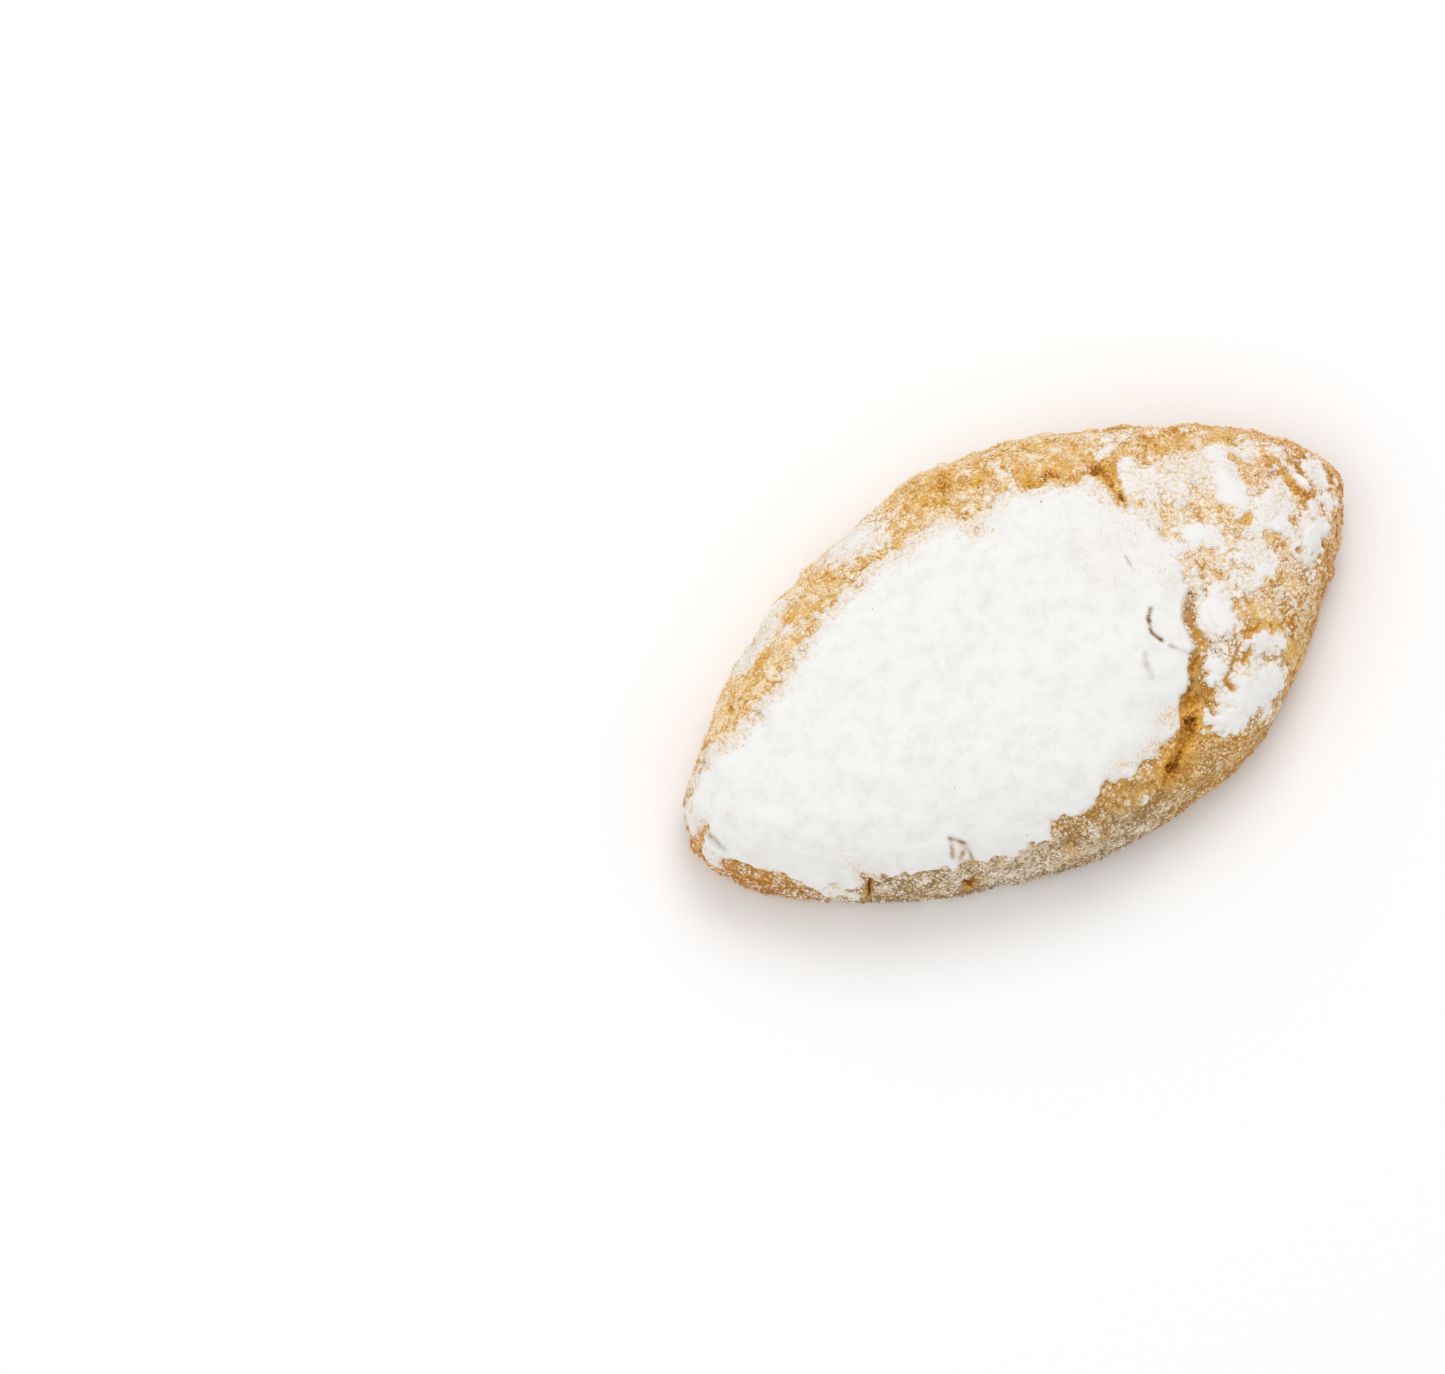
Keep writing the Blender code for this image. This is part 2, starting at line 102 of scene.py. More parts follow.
def biscuit_point(along, ring):
    """Point of the smooth form. along 0..1 runs from the left tip to the right one as half a cosine.

    ring 0..1 runs from the far belly over the crest to the near belly on half a superellipse, and
    ring 1..2 back under it: a quarter ellipse in, the flat foot, and a quarter ellipse out.
    """
    x = -HALF_LENGTH * np.cos(np.pi * np.clip(along, 0, 1))
    ring = ring % 2
    share = np.clip(np.abs(x) / HALF_LENGTH, 0, 1)
    far, near = half_width(x, "far"), half_width(x, "near")

    across = np.cos(np.pi * np.clip(ring, 0, 1))
    rise = (HEIGHT - BELLY_HEIGHT) * (1 - share**CREST_POWER) ** CREST_SHARPNESS
    y_top = np.where(across > 0, far, near) * across
    z_top = BELLY_HEIGHT + rise * (1 - np.abs(across) ** SIDE_SQUARENESS) ** (1 / TOP_SQUARENESS)

    below = np.clip(ring - 1, 0, 1)
    near_knee = np.clip(below / KNEE_SHARE, 0, 1)
    far_knee = np.clip((1 - below) / KNEE_SHARE, 0, 1)
    flat = np.clip((below - KNEE_SHARE) / (1 - 2 * KNEE_SHARE), 0, 1)
    lift = np.clip((np.abs(x) - HALF_LENGTH + TIP_LIFT) / TIP_LIFT, 0, 1)
    foot = BELLY_HEIGHT * (1 - np.sqrt(1 - lift**2))
    near_foot = near - np.minimum(FOOT_INSET, near)
    far_foot = far - np.minimum(FOOT_INSET, far)
    turn = np.pi / 2 * np.minimum(near_knee, far_knee)
    y_near = -near_foot - (near - near_foot) * np.cos(turn)
    y_far = far_foot + (far - far_foot) * np.cos(turn)
    y_flat = -near_foot + (near_foot + far_foot) * flat
    y_low = np.where(near_knee < 1, y_near, np.where(far_knee < 1, y_far, y_flat))
    z_low = BELLY_HEIGHT - (BELLY_HEIGHT - foot) * np.sin(turn)

    right = TIP_BEND["right"] * blend(BEND_START, HALF_LENGTH, x)
    left = TIP_BEND["left"] * blend(BEND_START, HALF_LENGTH, -x)
    y = np.where(ring <= 1, y_top, y_low) + right + left
    return np.stack([x, y, np.where(ring <= 1, z_top, z_low)], axis=-1)


def biscuit_normal(along, ring):
    """Unit direction outwards: the cross product of a short step round the form and one along it."""
    step = 2e-4
    inner = np.clip(along, 2 * step, 1 - 2 * step)
    round_it = biscuit_point(inner, ring + step) - biscuit_point(inner, ring - step)
    along_it = biscuit_point(inner + step, ring) - biscuit_point(inner - step, ring)
    normal = np.cross(round_it, along_it)
    return normal / (np.linalg.norm(normal, axis=-1, keepdims=True) + 1e-12)


def lattice_value(cell, seed):
    """A random number in -1..1 for each whole-numbered cell corner, the same on every run."""
    mixed = cell[..., 0] * 73856093 ^ cell[..., 1] * 19349663 ^ cell[..., 2] * 83492791 ^ seed * 2654435
    mixed = (mixed ^ (mixed >> 13)) * 1274126177 & 0x7FFFFFFF
    mixed = (mixed ^ (mixed >> 15)) * 40503 & 0x7FFFFFFF
    return (mixed ^ (mixed >> 11)) % 65536 / 32767.5 - 1


def noise(points, size, seed):
    """Smooth random relief in about -1..1 whose bumps are size across: corner values blended in each cell."""
    scaled = points / size
    cell = np.floor(scaled).astype(np.int64)
    t = scaled - cell
    t = t * t * t * (t * (t * 6 - 15) + 10)
    total = 0
    for corner in np.ndindex(2, 2, 2):
        weight = np.prod(np.where(corner, t, 1 - t), axis=-1)
        total = total + weight * lattice_value(cell + corner, seed)
    return total


def noises(points, *layers):
    """Sum of noise in layers, each with its height, its size across and its seed."""
    return sum(height * noise(points, size, seed) for height, size, seed in layers)


def granules(points, size, seed):
    """Round bumps packed side by side, 1 in each one's middle and 0 between: distance to the nearest seed."""
    jitter, reach = 0.42, 0.8
    scaled = points / size
    cell = np.floor(scaled).astype(np.int64)
    nearest = np.full(points.shape[:-1], 9.0)
    for offset in np.ndindex(3, 3, 3):
        other = cell + np.array(offset) - 1
        places = [other[..., axis] + 0.5 + jitter * lattice_value(other, seed + axis) for axis in range(3)]
        squared = sum((scaled[..., axis] - place) ** 2 for axis, place in enumerate(places))
        nearest = np.minimum(nearest, squared)
    return np.clip(1 - np.sqrt(nearest) / reach, 0, 1)


def distance_to_line(points, line):
    """Shortest distance seen from above from each point to a line of straight runs."""
    x, y = points[..., 0], points[..., 1]
    nearest = np.full(x.shape, np.inf)
    for (x0, y0), (x1, y1) in zip(line[:-1], line[1:]):
        run_x, run_y = x1 - x0, y1 - y0
        along = np.clip(((x - x0) * run_x + (y - y0) * run_y) / (run_x**2 + run_y**2), 0, 1)
        nearest = np.minimum(nearest, np.hypot(x - x0 - along * run_x, y - y0 - along * run_y))
    return nearest


# The sugar sheet's torn edge seen from above
SHEET_EDGE = (
    (-38.3, -0.2), (-38.2, 0.6), (-38.9, 1.4), (-38.9, 3.0), (-38.2, 4.4), (-36.9, 6.0), (-33.9, 6.4),
    (-31.9, 6.7), (-29.5, 7.4), (-27.3, 8.6), (-25.5, 8.7), (-24.5, 9.6), (-20.9, 11.1), (-17.9, 12.5),
    (-15.1, 13.6), (-11.3, 14.3), (-8.3, 14.8), (-5.3, 15.3), (-1.9, 15.8), (0.1, 15.5), (1.0, 13.5),
    (1.7, 12.3), (2.9, 13.4), (4.9, 14.3), (6.9, 14.5), (9.1, 13.5), (12.3, 12.1), (14.5, 11.8), (15.2, 9.6),
    (15.9, 7.5), (17.7, 6.2), (18.6, 1.4), (17.9, -4.0), (16.7, -6.0), (15.6, -7.5), (15.6, -10.2),
    (14.2, -11.1), (12.6, -13.7), (10.9, -15.0), (10.3, -16.1), (7.9, -17.5), (4.1, -18.2), (1.5, -18.4),
    (0.1, -18.0), (-1.7, -18.8), (-3.3, -19.5), (-4.6, -18.9), (-5.8, -18.0), (-7.2, -18.0), (-7.8, -19.6),
    (-8.9, -19.8), (-10.3, -19.3), (-12.3, -19.1), (-14.3, -18.3), (-15.9, -17.7), (-16.6, -17.5),
    (-18.6, -17.3), (-20.6, -16.7), (-22.4, -15.7), (-23.2, -14.9), (-24.0, -15.0), (-25.9, -13.9),
    (-26.9, -12.9), (-28.2, -13.5), (-30.3, -12.2), (-32.3, -10.8), (-34.3, -8.8), (-36.6, -6.2),
    (-38.1, -4.1), (-39.2, -2.6), (-39.8, -1.4), (-39.4, -0.7),
)
# Cracks and torn hollows: the line seen from above, half width, depth
CRACKS = {
    "main crack": (((17.0, -6.3), (16.5, -7.2), (16.3, -8.7), (16.5, -10.0), (16.3, -10.8)), 0.62, 1.0),
    "main crack, upper end": (((18.0, -5.0), (17.5, -5.6), (17.0, -6.3)), 0.35, 0.4),
    "main crack, lower run": (
        ((16.3, -10.8), (15.1, -11.2), (14.3, -12.1), (13.6, -13.2), (12.9, -14.4), (12.2, -15.2)), 0.75, 0.8
    ),
    "torn side": (((12.2, -15.2), (11.2, -16.8), (10.1, -18.1)), 1.3, 0.45),
    "torn side, dark slit": (((10.1, -18.4), (8.4, -19.2), (7.1, -19.8), (5.7, -20.6)), 0.38, 0.45),
    "branch": (((16.6, -10.7), (17.1, -11.5), (17.9, -11.8)), 0.2, 0.5),
    "far crack": (((11.7, 14.0), (12.7, 13.2), (14.3, 12.5), (15.9, 12.2)), 0.3, 0.5),
    "far crack, inner run": (((16.8, 12.8), (16.7, 10.6), (16.6, 9.2), (16.9, 7.6), (16.8, 6.8)), 0.28, 0.35),
    "tip crack": (((36.1, 3.4), (35.8, 2.0), (36.2, 0.8), (36.0, 0.0)), 0.22, 0.6),
    "tip hollow": (((34.2, 2.4), (34.0, 1.2), (34.4, 0.0), (35.2, -0.8)), 0.55, 0.4),
    "tip hollow, end": (((34.0, 2.6), (33.2, 2.8), (32.4, 2.5)), 0.3, 0.5),
    "end crack": (((21.2, -11.2), (22.3, -11.5), (23.4, -11.1)), 0.3, 0.5),
    "end crack, lower": (((20.9, -12.9), (20.3, -13.6), (19.4, -13.9)), 0.25, 0.5),
    "end crack, edge": (((17.9, -14.0), (16.7, -14.7), (17.0, -15.7)), 0.25, 0.5),
    "notch": (((-28.0, -14.9), (-27.3, -14.6), (-26.7, -13.9)), 0.45, 1.3),
    "chipped edge, hollow": (((-17.7, -18.6), (-16.8, -19.3)), 0.38, 1.1),
    "far hollow": (((1.3, 19.2), (2.3, 20.8)), 1.0, 0.4),
    "far slit": (((1.0, 16.3), (1.2, 15.4), (1.3, 14.4)), 0.15, 0.4),
}
CRACK_FLOOR = (3.0, 6.5)  # levels between which the cracks and pits run out down the sides
CRACK_CLOSING = (4.0, 10.0)  # levels between which they narrow to this share of their width
CRACK_CLOSED = 0.45
# Pits in the bare crust: centre x, y, radius, depth
PITS = (
    (11.0, -16.8, 0.7, 1.1), (11.8, -16.9, 0.4, 1.3), (7.1, -19.8, 0.8, 0.9), (16.0, 11.9, 0.5, 0.55),
    (16.9, 7.9, 0.45, 0.9), (11.2, 14.2, 0.55, 0.6), (0.3, -20.4, 0.5, 0.7), (-0.9, -20.9, 0.4, 0.6),
    (-2.1, -21.6, 0.5, 0.6), (1.6, -22.2, 0.5, 0.7), (-9.3, -21.9, 0.6, 0.6), (-5.9, -21.1, 1.0, 0.4),
    (-19.2, 15.8, 0.8, 0.5), (-20.6, 15.0, 0.5, 0.4), (-24.2, 12.8, 0.5, 0.4), (-30.3, 10.0, 0.6, 0.4),
    (-3.1, 19.4, 0.9, 0.5), (-1.3, 18.8, 0.5, 0.6), (5.1, 17.4, 0.5, 0.5), (3.8, 18.6, 0.5, 0.5),
    (25.5, 10.8, 0.6, 0.5), (27.2, -0.6, 0.45, 0.5), (28.5, -0.2, 0.6, 0.5), (34.4, 0.8, 0.5, 0.4),
    (24.3, -11.8, 0.5, 0.7), (21.1, -11.2, 0.4, 0.5), (-39.5, -0.3, 0.6, 0.4), (-16.1, -16.1, 0.3, 0.7),
    (28.0, -2.5, 0.5, 0.4), (31.6, -2.5, 0.35, 0.5), (31.0, -5.8, 0.35, 0.5), (32.9, 2.5, 0.5, 0.5),
    (29.9, -4.3, 0.4, 0.4), (-23.2, -16.1, 0.5, 0.5), (-20.6, -17.9, 0.5, 0.5), (17.2, -18.6, 0.4, 0.4),
    (15.3, -15.7, 0.3, 0.4), (36.2, 0.4, 0.3, 0.6), (7.0, 15.8, 0.5, 0.4), (20.1, 0.3, 0.4, 0.4),
)
LUMP_SIZE = 9.0
LUMP_HEIGHT = 0.42
CRAG_SIZE = 2.4
CRAG_HEIGHT = 0.34
CRUMB_SIZE = 1.1
CRUMB_HEIGHT = 0.13
CLOD_SIZE = 2.0
CLOD_HEIGHT = 0.26
GRANULE_SIZE = 0.62
GRANULE_HEIGHT = 0.15


def crack_depth(points):
    """Depth of the cracks and pits: trenches along each line whose walls wander and close down the sides."""
    depth = np.zeros(points.shape[:-1])
    closing = CRACK_CLOSED + (1 - CRACK_CLOSED) * blend(*CRACK_CLOSING, points[..., 2])
    wander = noises(points, (0.28, 1.6, 3), (0.16, 0.7, 4))
    for line, half_wide, deep in CRACKS.values():
        reach = (distance_to_line(points, line) + wander * min(1, half_wide)) / (half_wide * closing)
        depth = np.maximum(depth, deep * (1 - blend(0.35, 1.15, reach)))
    for centre_x, centre_y, radius, deep in PITS:
        away = np.hypot(points[..., 0] - centre_x, points[..., 1] - centre_y)
        depth = np.maximum(depth, deep * (1 - blend(0.1, 1.15, (away + wander) / radius)))
    return depth * blend(*CRACK_FLOOR, points[..., 2])


def inside_edge(points, edge):
    """Distance seen from above to a closed edge, positive inside it."""
    x, y = points[..., 0], points[..., 1]
    closed = edge + edge[:1]
    inside = np.zeros(x.shape, bool)
    for (x0, y0), (x1, y1) in zip(closed[:-1], closed[1:]):
        if y0 != y1:
            inside ^= ((y0 > y) != (y1 > y)) & (x < x0 + (y - y0) / (y1 - y0) * (x1 - x0))
    return np.where(inside, 1, -1) * distance_to_line(points, closed)


def dough_height(points):
    """The slow swelling of the dough under crust and sugar alike."""
    return LUMP_HEIGHT * noise(points, LUMP_SIZE, 1)


def crags(points):
    """The large crags of the crust, -1..1, which the sugar on it follows in part."""
    return noise(points, CRAG_SIZE, 2)


def clods(points):
    """The round clods of the crust: 1 on each, where the dust settles, and 0 in the clefts between them."""
    return granules(points, CLOD_SIZE, 15)


def crust_height(points, depth):
    """Bare crust: lumps, crags, clods and packed granules, smoother in the cracks and under the sheet."""
    rough = (1 - 0.35 * blend(0.5, 1.2, depth)) * (1 - 0.8 * blend(0.4, 1.4, inside_edge(points, SHEET_EDGE)))
    grit = CLOD_HEIGHT * (clods(points) - 0.4) + CRUMB_HEIGHT * noise(points, CRUMB_SIZE, 7)
    grit = grit + GRANULE_HEIGHT * (granules(points, GRANULE_SIZE, 11) - 0.4)
    return dough_height(points) + CRAG_HEIGHT * crags(points) + rough * grit - depth


def above_foot(points):
    """0 on the flat foot, rising to 1 up the side, so that relief never bulges below the table."""
    return blend(0.05, 1.6, points[..., 2])


# Where sugar dust lies thick or has worn off, seen from above: centre x, y, half length, half width, amount
DUST_SPOTS = (
    (-9.4, 18.8, 4.2, 2.2, 1.15), (-25.9, 14.6, 4.8, 1.3, 1.25), (-21.3, 16.8, 2.8, 0.9, 1.05),
    (-34.3, 6.9, 1.5, 1.1, 0.45), (-32.3, 11.4, 2.0, 0.9, 0.60), (-39.3, -2.2, 1.0, 1.0, 1.60),
    (-39.4, 2.4, 1.2, 2.2, 0.95), (-36.9, 6.0, 1.4, 1.0, 0.25), (18.9, 13.8, 1.6, 0.9, 0.55),
    (19.1, 10.2, 1.6, 1.8, 0.35), (22.1, 7.6, 2.6, 1.8, 0.32), (27.5, 4.5, 1.9, 4.2, 0.42),
    (28.1, 8.0, 1.0, 1.0, 0.35), (22.1, 0.4, 1.8, 1.6, 0.35), (18.7, -0.4, 1.6, 0.9, 0.30),
    (30.5, 0.8, 1.4, 0.9, 0.40), (30.5, -2.5, 1.0, 1.7, 0.45), (32.7, -5.1, 1.9, 1.8, 0.42),
    (26.3, -3.2, 2.2, 1.4, 0.25), (23.3, -4.3, 3.0, 1.6, 0.25),
    (37.9, 0.6, 1.2, 2.6, 0.60), (33.2, 0.6, 3.6, 4.0, 0.10),
    (35.2, 1.3, 0.6, 1.5, 0.50), (31.5, 6.0, 0.9, 0.9, 0.25), (24.1, -7.1, 2.0, 1.0, 0.22),
    (19.3, -8.6, 2.4, 2.7, 0.45), (27.7, -5.1, 1.6, 1.0, 0.20), (16.5, -13.2, 1.6, 2.0, 0.30),
    (18.7, -16.8, 4.4, 2.2, 0.35), (14.3, -18.2, 2.4, 1.3, 0.35), (22.1, -13.0, 1.6, 1.3, 0.35),
    (7.5, 16.8, 0.7, 0.6, 0.45), (7.5, 20.1, 0.7, 0.7, 0.45), (4.5, 16.8, 0.8, 0.5, 0.30),
    (0.5, 16.9, 0.7, 0.5, 0.25), (12.1, 17.2, 1.6, 1.0, 0.22), (1.2, -20.4, 0.6, 0.5, 0.60),
    (3.0, -20.9, 0.5, 0.4, 0.60), (-3.4, -20.9, 0.5, 0.5, 0.40), (-6.5, -19.7, 1.6, 0.9, 0.20),
    (2.9, -17.8, 1.2, 0.8, 0.30), (7.7, -17.8, 2.0, 0.5, 0.20), (37.1, -2.4, 1.0, 1.0, 0.20),
    (34.3, 5.0, 0.7, 0.7, 0.20), (15.7, 5.5, 1.6, 3.0, 0.20), (24.1, 3.2, 2.2, 1.5, -0.22),
    (25.9, 2.5, 0.9, 1.3, -0.25), (27.3, -0.6, 0.8, 0.6, -0.60), (28.8, 0.1, 0.9, 0.6, -0.45),
    (24.9, 0.0, 1.3, 0.7, -0.22), (20.2, 0.3, 0.4, 0.7, -0.40), (17.9, -3.3, 0.5, 1.4, -0.25),
    (28.7, -2.8, 0.9, 1.5, -0.32), (29.8, -4.5, 0.8, 0.6, -0.35), (31.7, -2.7, 0.5, 0.6, -0.50),
    (31.0, -5.8, 0.5, 0.4, -0.45), (23.1, -9.6, 1.8, 1.5, -0.40), (27.5, -7.5, 1.4, 0.8, -0.28),
    (28.7, -9.2, 1.6, 0.9, -0.25), (32.7, 4.5, 2.4, 2.4, 0.06), (30.9, 8.2, 2.2, 1.6, -0.25),
    (30.1, 4.7, 0.7, 1.4, -0.35), (34.3, 1.1, 0.5, 1.8, -0.60), (34.9, -0.9, 1.2, 0.5, -0.55),
    (33.8, -2.4, 0.8, 1.1, -0.30), (35.9, 2.2, 0.4, 1.2, -0.50), (25.1, 10.6, 2.6, 1.2, -0.25),
    (20.7, 12.0, 2.6, 0.8, -0.22), (21.0, 10.0, 0.8, 0.8, -0.30), (16.8, 9.8, 0.8, 3.2, -0.50),
    (22.3, -11.2, 1.6, 0.6, -0.35), (24.4, -11.7, 0.8, 0.6, -0.55), (20.1, -13.5, 1.2, 0.5, -0.35),
    (24.7, -15.0, 1.2, 0.7, -0.50), (16.9, -15.2, 0.4, 0.7, -0.50), (17.5, -6.0, 0.7, 1.4, -0.40),
    (9.3, -19.2, 3.6, 1.5, -0.45), (12.1, -15.2, 1.4, 1.8, -0.40), (-1.9, 19.2, 3.6, 1.8, -0.22),
    (-17.8, 14.4, 5.0, 1.5, -0.15), (-39.7, -0.4, 0.6, 0.45, -0.60), (-38.6, -1.7, 0.3, 0.7, -0.45),
    (-30.3, 10.3, 0.9, 0.8, -0.30), (-24.3, 12.8, 1.0, 0.6, -0.35), (13.5, -20.6, 3.6, 1.8, -0.32),
    (15.2, -16.0, 1.4, 1.2, 0.40), (-37.2, -6.4, 2.0, 1.6, -0.17), (-33.7, -10.4, 2.6, 1.6, -0.15),
)


def far_side(points):
    """1 along the far left, where the sheet of sugar thins out slowly, and less elsewhere."""
    return blend(1.5, 6.0, points[..., 1]) * (1 - 0.45 * blend(4.0, 12.0, points[..., 0]))


def bells(points, table):
    """For each oval spot seen from above, its amount at the centre, falling off as a bell each way."""
    for centre_x, centre_y, half_x, half_y, amount in table:
        yield amount * bell(points[..., 0] - centre_x, half_x) * bell(points[..., 1] - centre_y, half_y)


def dust_amount(points):
    """Share of the crust under loose sugar dust: thick on the right-hand end, thin on the bands and sides."""
    x, y, z = np.moveaxis(points, -1, 0)
    top, right = blend(6.0, 11.5, z), blend(13.0, 19.0, x)
    amount = 0.13 + 0.45 * right * top + 0.14 * blend(0.0, 6.0, -y) * blend(18.0, 6.0, x) * (1 - top)
    amount = amount + (0.08 + 0.09 * blend(-8.0, 0.0, x)) * blend(6.0, 12.0, y) * blend(26.0, 18.0, x)
    amount = amount + right * top * noises(points, (0.13, 4.0, 26), (0.18, 2.0, 27))
    amount = amount - 0.36 * (1 - top) * blend(18.0, 26.0, x)
    amount = amount - 0.26 * blend(9.0, 13.0, y) * blend(10.0, 20.0, x)
    amount = amount + (0.30 + 0.22 * blend(6.0, 12.0, y)) * (clods(points) - 0.42)
    outside = np.maximum(-inside_edge(points, SHEET_EDGE), 0)
    amount = amount + 0.42 * np.exp(-outside / 0.7) * (0.40 + 0.60 * far_side(points))
    return amount + blend(3.0, 8.0, z) * sum(bells(points, DUST_SPOTS)) - 0.12 * blend(1.5, 0.0, z)


def along_main_crack(points):
    """1 on the main crack, whose walls are olive rather than amber, fading within two millimetres of it."""
    runs = ("main crack, upper end", "main crack", "main crack, lower run")
    line = tuple(dict.fromkeys(point for run in runs for point in CRACKS[run][0]))
    return bell(distance_to_line(points, line), 1.5) * blend(-16.0, -13.0, points[..., 1])


def brown_amount(points):
    """How far the crust has browned: most at the thin right-hand tip, on rims and under the foot."""
    x, y, z = np.moveaxis(points, -1, 0)
    amount = 0.52 * blend(25.0, 38.0, x) + 0.40 * blend(-31.0, -39.0, x)
    amount = amount + 0.45 * blend(10.0, 3.0, z) * (blend(14.0, 24.0, x) + blend(-24.0, -34.0, x))
    amount = amount + noises(points, (0.12, 6.0, 21), (0.14, 2.2, 22))
    return np.clip(amount - 0.15 * blend(0.0, -10.0, y) * blend(22.0, 10.0, x), 0, 1)


def dull_and_shade_amount(points):
    """How far the crust is greyed instead of golden: painted shade along the lower near side, fading to the
    right, and the dull olive of the main crack's walls.
    """
    x, y, z = np.moveaxis(points, -1, 0)
    amount = blend(-8.0, -15.0, y) * blend(14.0, 9.0, z) * (0.85 - 0.70 * blend(0.0, 14.0, x))
    amount = amount + 0.25 * noise(points, 3.0, 23) * (amount > 0)
    return np.clip(amount + 0.55 * along_main_crack(points), 0, 1)


def bake_and_shade_amount(points):
    """How much darker the crust is: painted shade low down towards the foot, on the near side, in the clefts
    between clods and along the main crack, and the oven's browning at the ends and in soft blotches.
    """
    x, y, z = np.moveaxis(points, -1, 0)
    # Painted shade: low down towards the foot, and along the near side, which faces away from the lamps
    low = 0.36 * blend(7.0, 1.5, z) + 0.36 * blend(-6.0, -14.0, y) * (1 - 0.7 * blend(14.0, 24.0, x))
    ends = 0.16 * blend(16.0, 24.0, x) * blend(9.0, 13.0, y)
    ends = ends + 0.30 * blend(-24.0, -34.0, x) * blend(-2.0, -6.0, y)
    pale = 0.20 * blend(15.0, 19.0, x) * blend(32.0, 27.0, x) * blend(-6.0, -2.0, y) * blend(11.0, 8.0, y)
    pale = pale + 0.11 * blend(-10.0, -18.0, x) * blend(4.0, 10.0, y)
    # Painted shade in the clefts between clods and down the main crack
    clefts = 0.42 * (0.45 - clods(points)) + 0.42 * along_main_crack(points)
    return low + ends - pale + clefts + noises(points, (0.16, 4.0, 24), (0.10, 1.8, 25))


# Where the crust is moist and amber, as in the torn hollows, and the notch and the hollow under the chipped
# edge, which are painted dark brown as shade: centre x, y, half length, half width, amount
MOIST_AND_SHADE_SPOTS = (
    # The first two spots, the notch and the chipped edge's hollow, are painted shade
    (-27.4, -14.5, 0.6, 0.5, 0.45), (-17.2, -18.9, 0.7, 0.35, 1.10), (11.2, -16.8, 0.7, 0.6, 0.45),
    (7.4, -19.8, 1.0, 0.8, 0.42), (11.3, 14.2, 0.7, 0.5, 0.45), (16.1, 12.3, 0.6, 0.6, 0.45),
    (17.0, 8.1, 0.5, 0.6, 0.40),
    (-5.9, -21.1, 1.2, 0.7, 0.12), (-2.9, -22.0, 1.4, 0.7, 0.12), (-10.6, -21.2, 2.2, 1.0, -0.12),
    (-1.0, 19.2, 2.4, 1.3, 0.20), (1.9, 20.6, 1.8, 1.8, 0.24), (-18.8, 14.4, 5.0, 1.4, 0.13),
    (-24.3, 12.8, 1.3, 0.8, 0.16), (-30.3, 10.2, 1.1, 0.9, 0.16), (-28.3, 11.6, 1.3, 0.7, 0.14),
    (11.7, 14.2, 2.4, 1.1, 0.26), (16.2, 12.6, 1.7, 1.5, 0.26), (16.8, 9.4, 0.9, 2.8, 0.22),
    (8.1, 15.4, 3.0, 1.0, 0.10), (14.1, 16.1, 3.0, 1.4, 0.08), (4.9, 17.8, 1.4, 1.2, 0.14),
    (25.7, 10.8, 2.2, 0.9, 0.14), (29.7, 9.6, 2.6, 1.1, 0.16), (30.9, 7.9, 2.2, 1.4, 0.18),
    (33.3, 5.0, 2.0, 1.6, 0.18), (34.5, 0.2, 1.2, 1.8, 0.24), (27.9, -0.4, 1.3, 0.8, 0.24),
    (10.9, -17.2, 2.2, 1.6, 0.25), (8.7, -19.1, 2.6, 1.3, 0.18), (5.9, -20.4, 1.8, 0.9, 0.13),
    (12.4, -15.0, 1.3, 1.4, 0.17), (16.4, -8.6, 0.7, 2.6, 0.13), (14.6, -11.7, 0.9, 0.9, 0.28),
    (8.3, -18.7, 0.7, 0.6, 0.30), (7.2, -19.4, 0.6, 0.5, 0.30), (10.6, -17.5, 0.9, 1.0, 0.16),
    (3.3, -19.8, 3.4, 1.5, 0.13), (-0.1, -20.2, 2.0, 1.2, 0.10), (24.5, -11.8, 1.0, 0.8, 0.24),
    (25.5, -14.6, 1.4, 0.9, 0.26), (23.1, -9.6, 2.2, 1.7, 0.10), (22.3, -11.4, 1.8, 0.5, 0.18),
    (16.9, -15.2, 0.5, 0.8, 0.20), (-39.2, -0.2, 0.7, 0.5, 0.22), (28.1, -2.8, 1.2, 1.6, 0.12),
    (20.3, -13.6, 1.4, 0.5, 0.14),
)


def moist_and_shade_amount(points, depth):
    """How deep amber the crust is, by depth in cracks, in spots round them and in the far side's clefts;
    deepest down it turns to painted shade.
    """
    amount = 0.27 * depth * (1 - 0.40 * along_main_crack(points))
    clefts = 0.13 * blend(0.30, 0.0, clods(points)) * blend(6.0, 12.0, points[..., 1])
    return amount + blend(3.0, 6.5, points[..., 2]) * (sum(bells(points, MOIST_AND_SHADE_SPOTS)) + clefts)


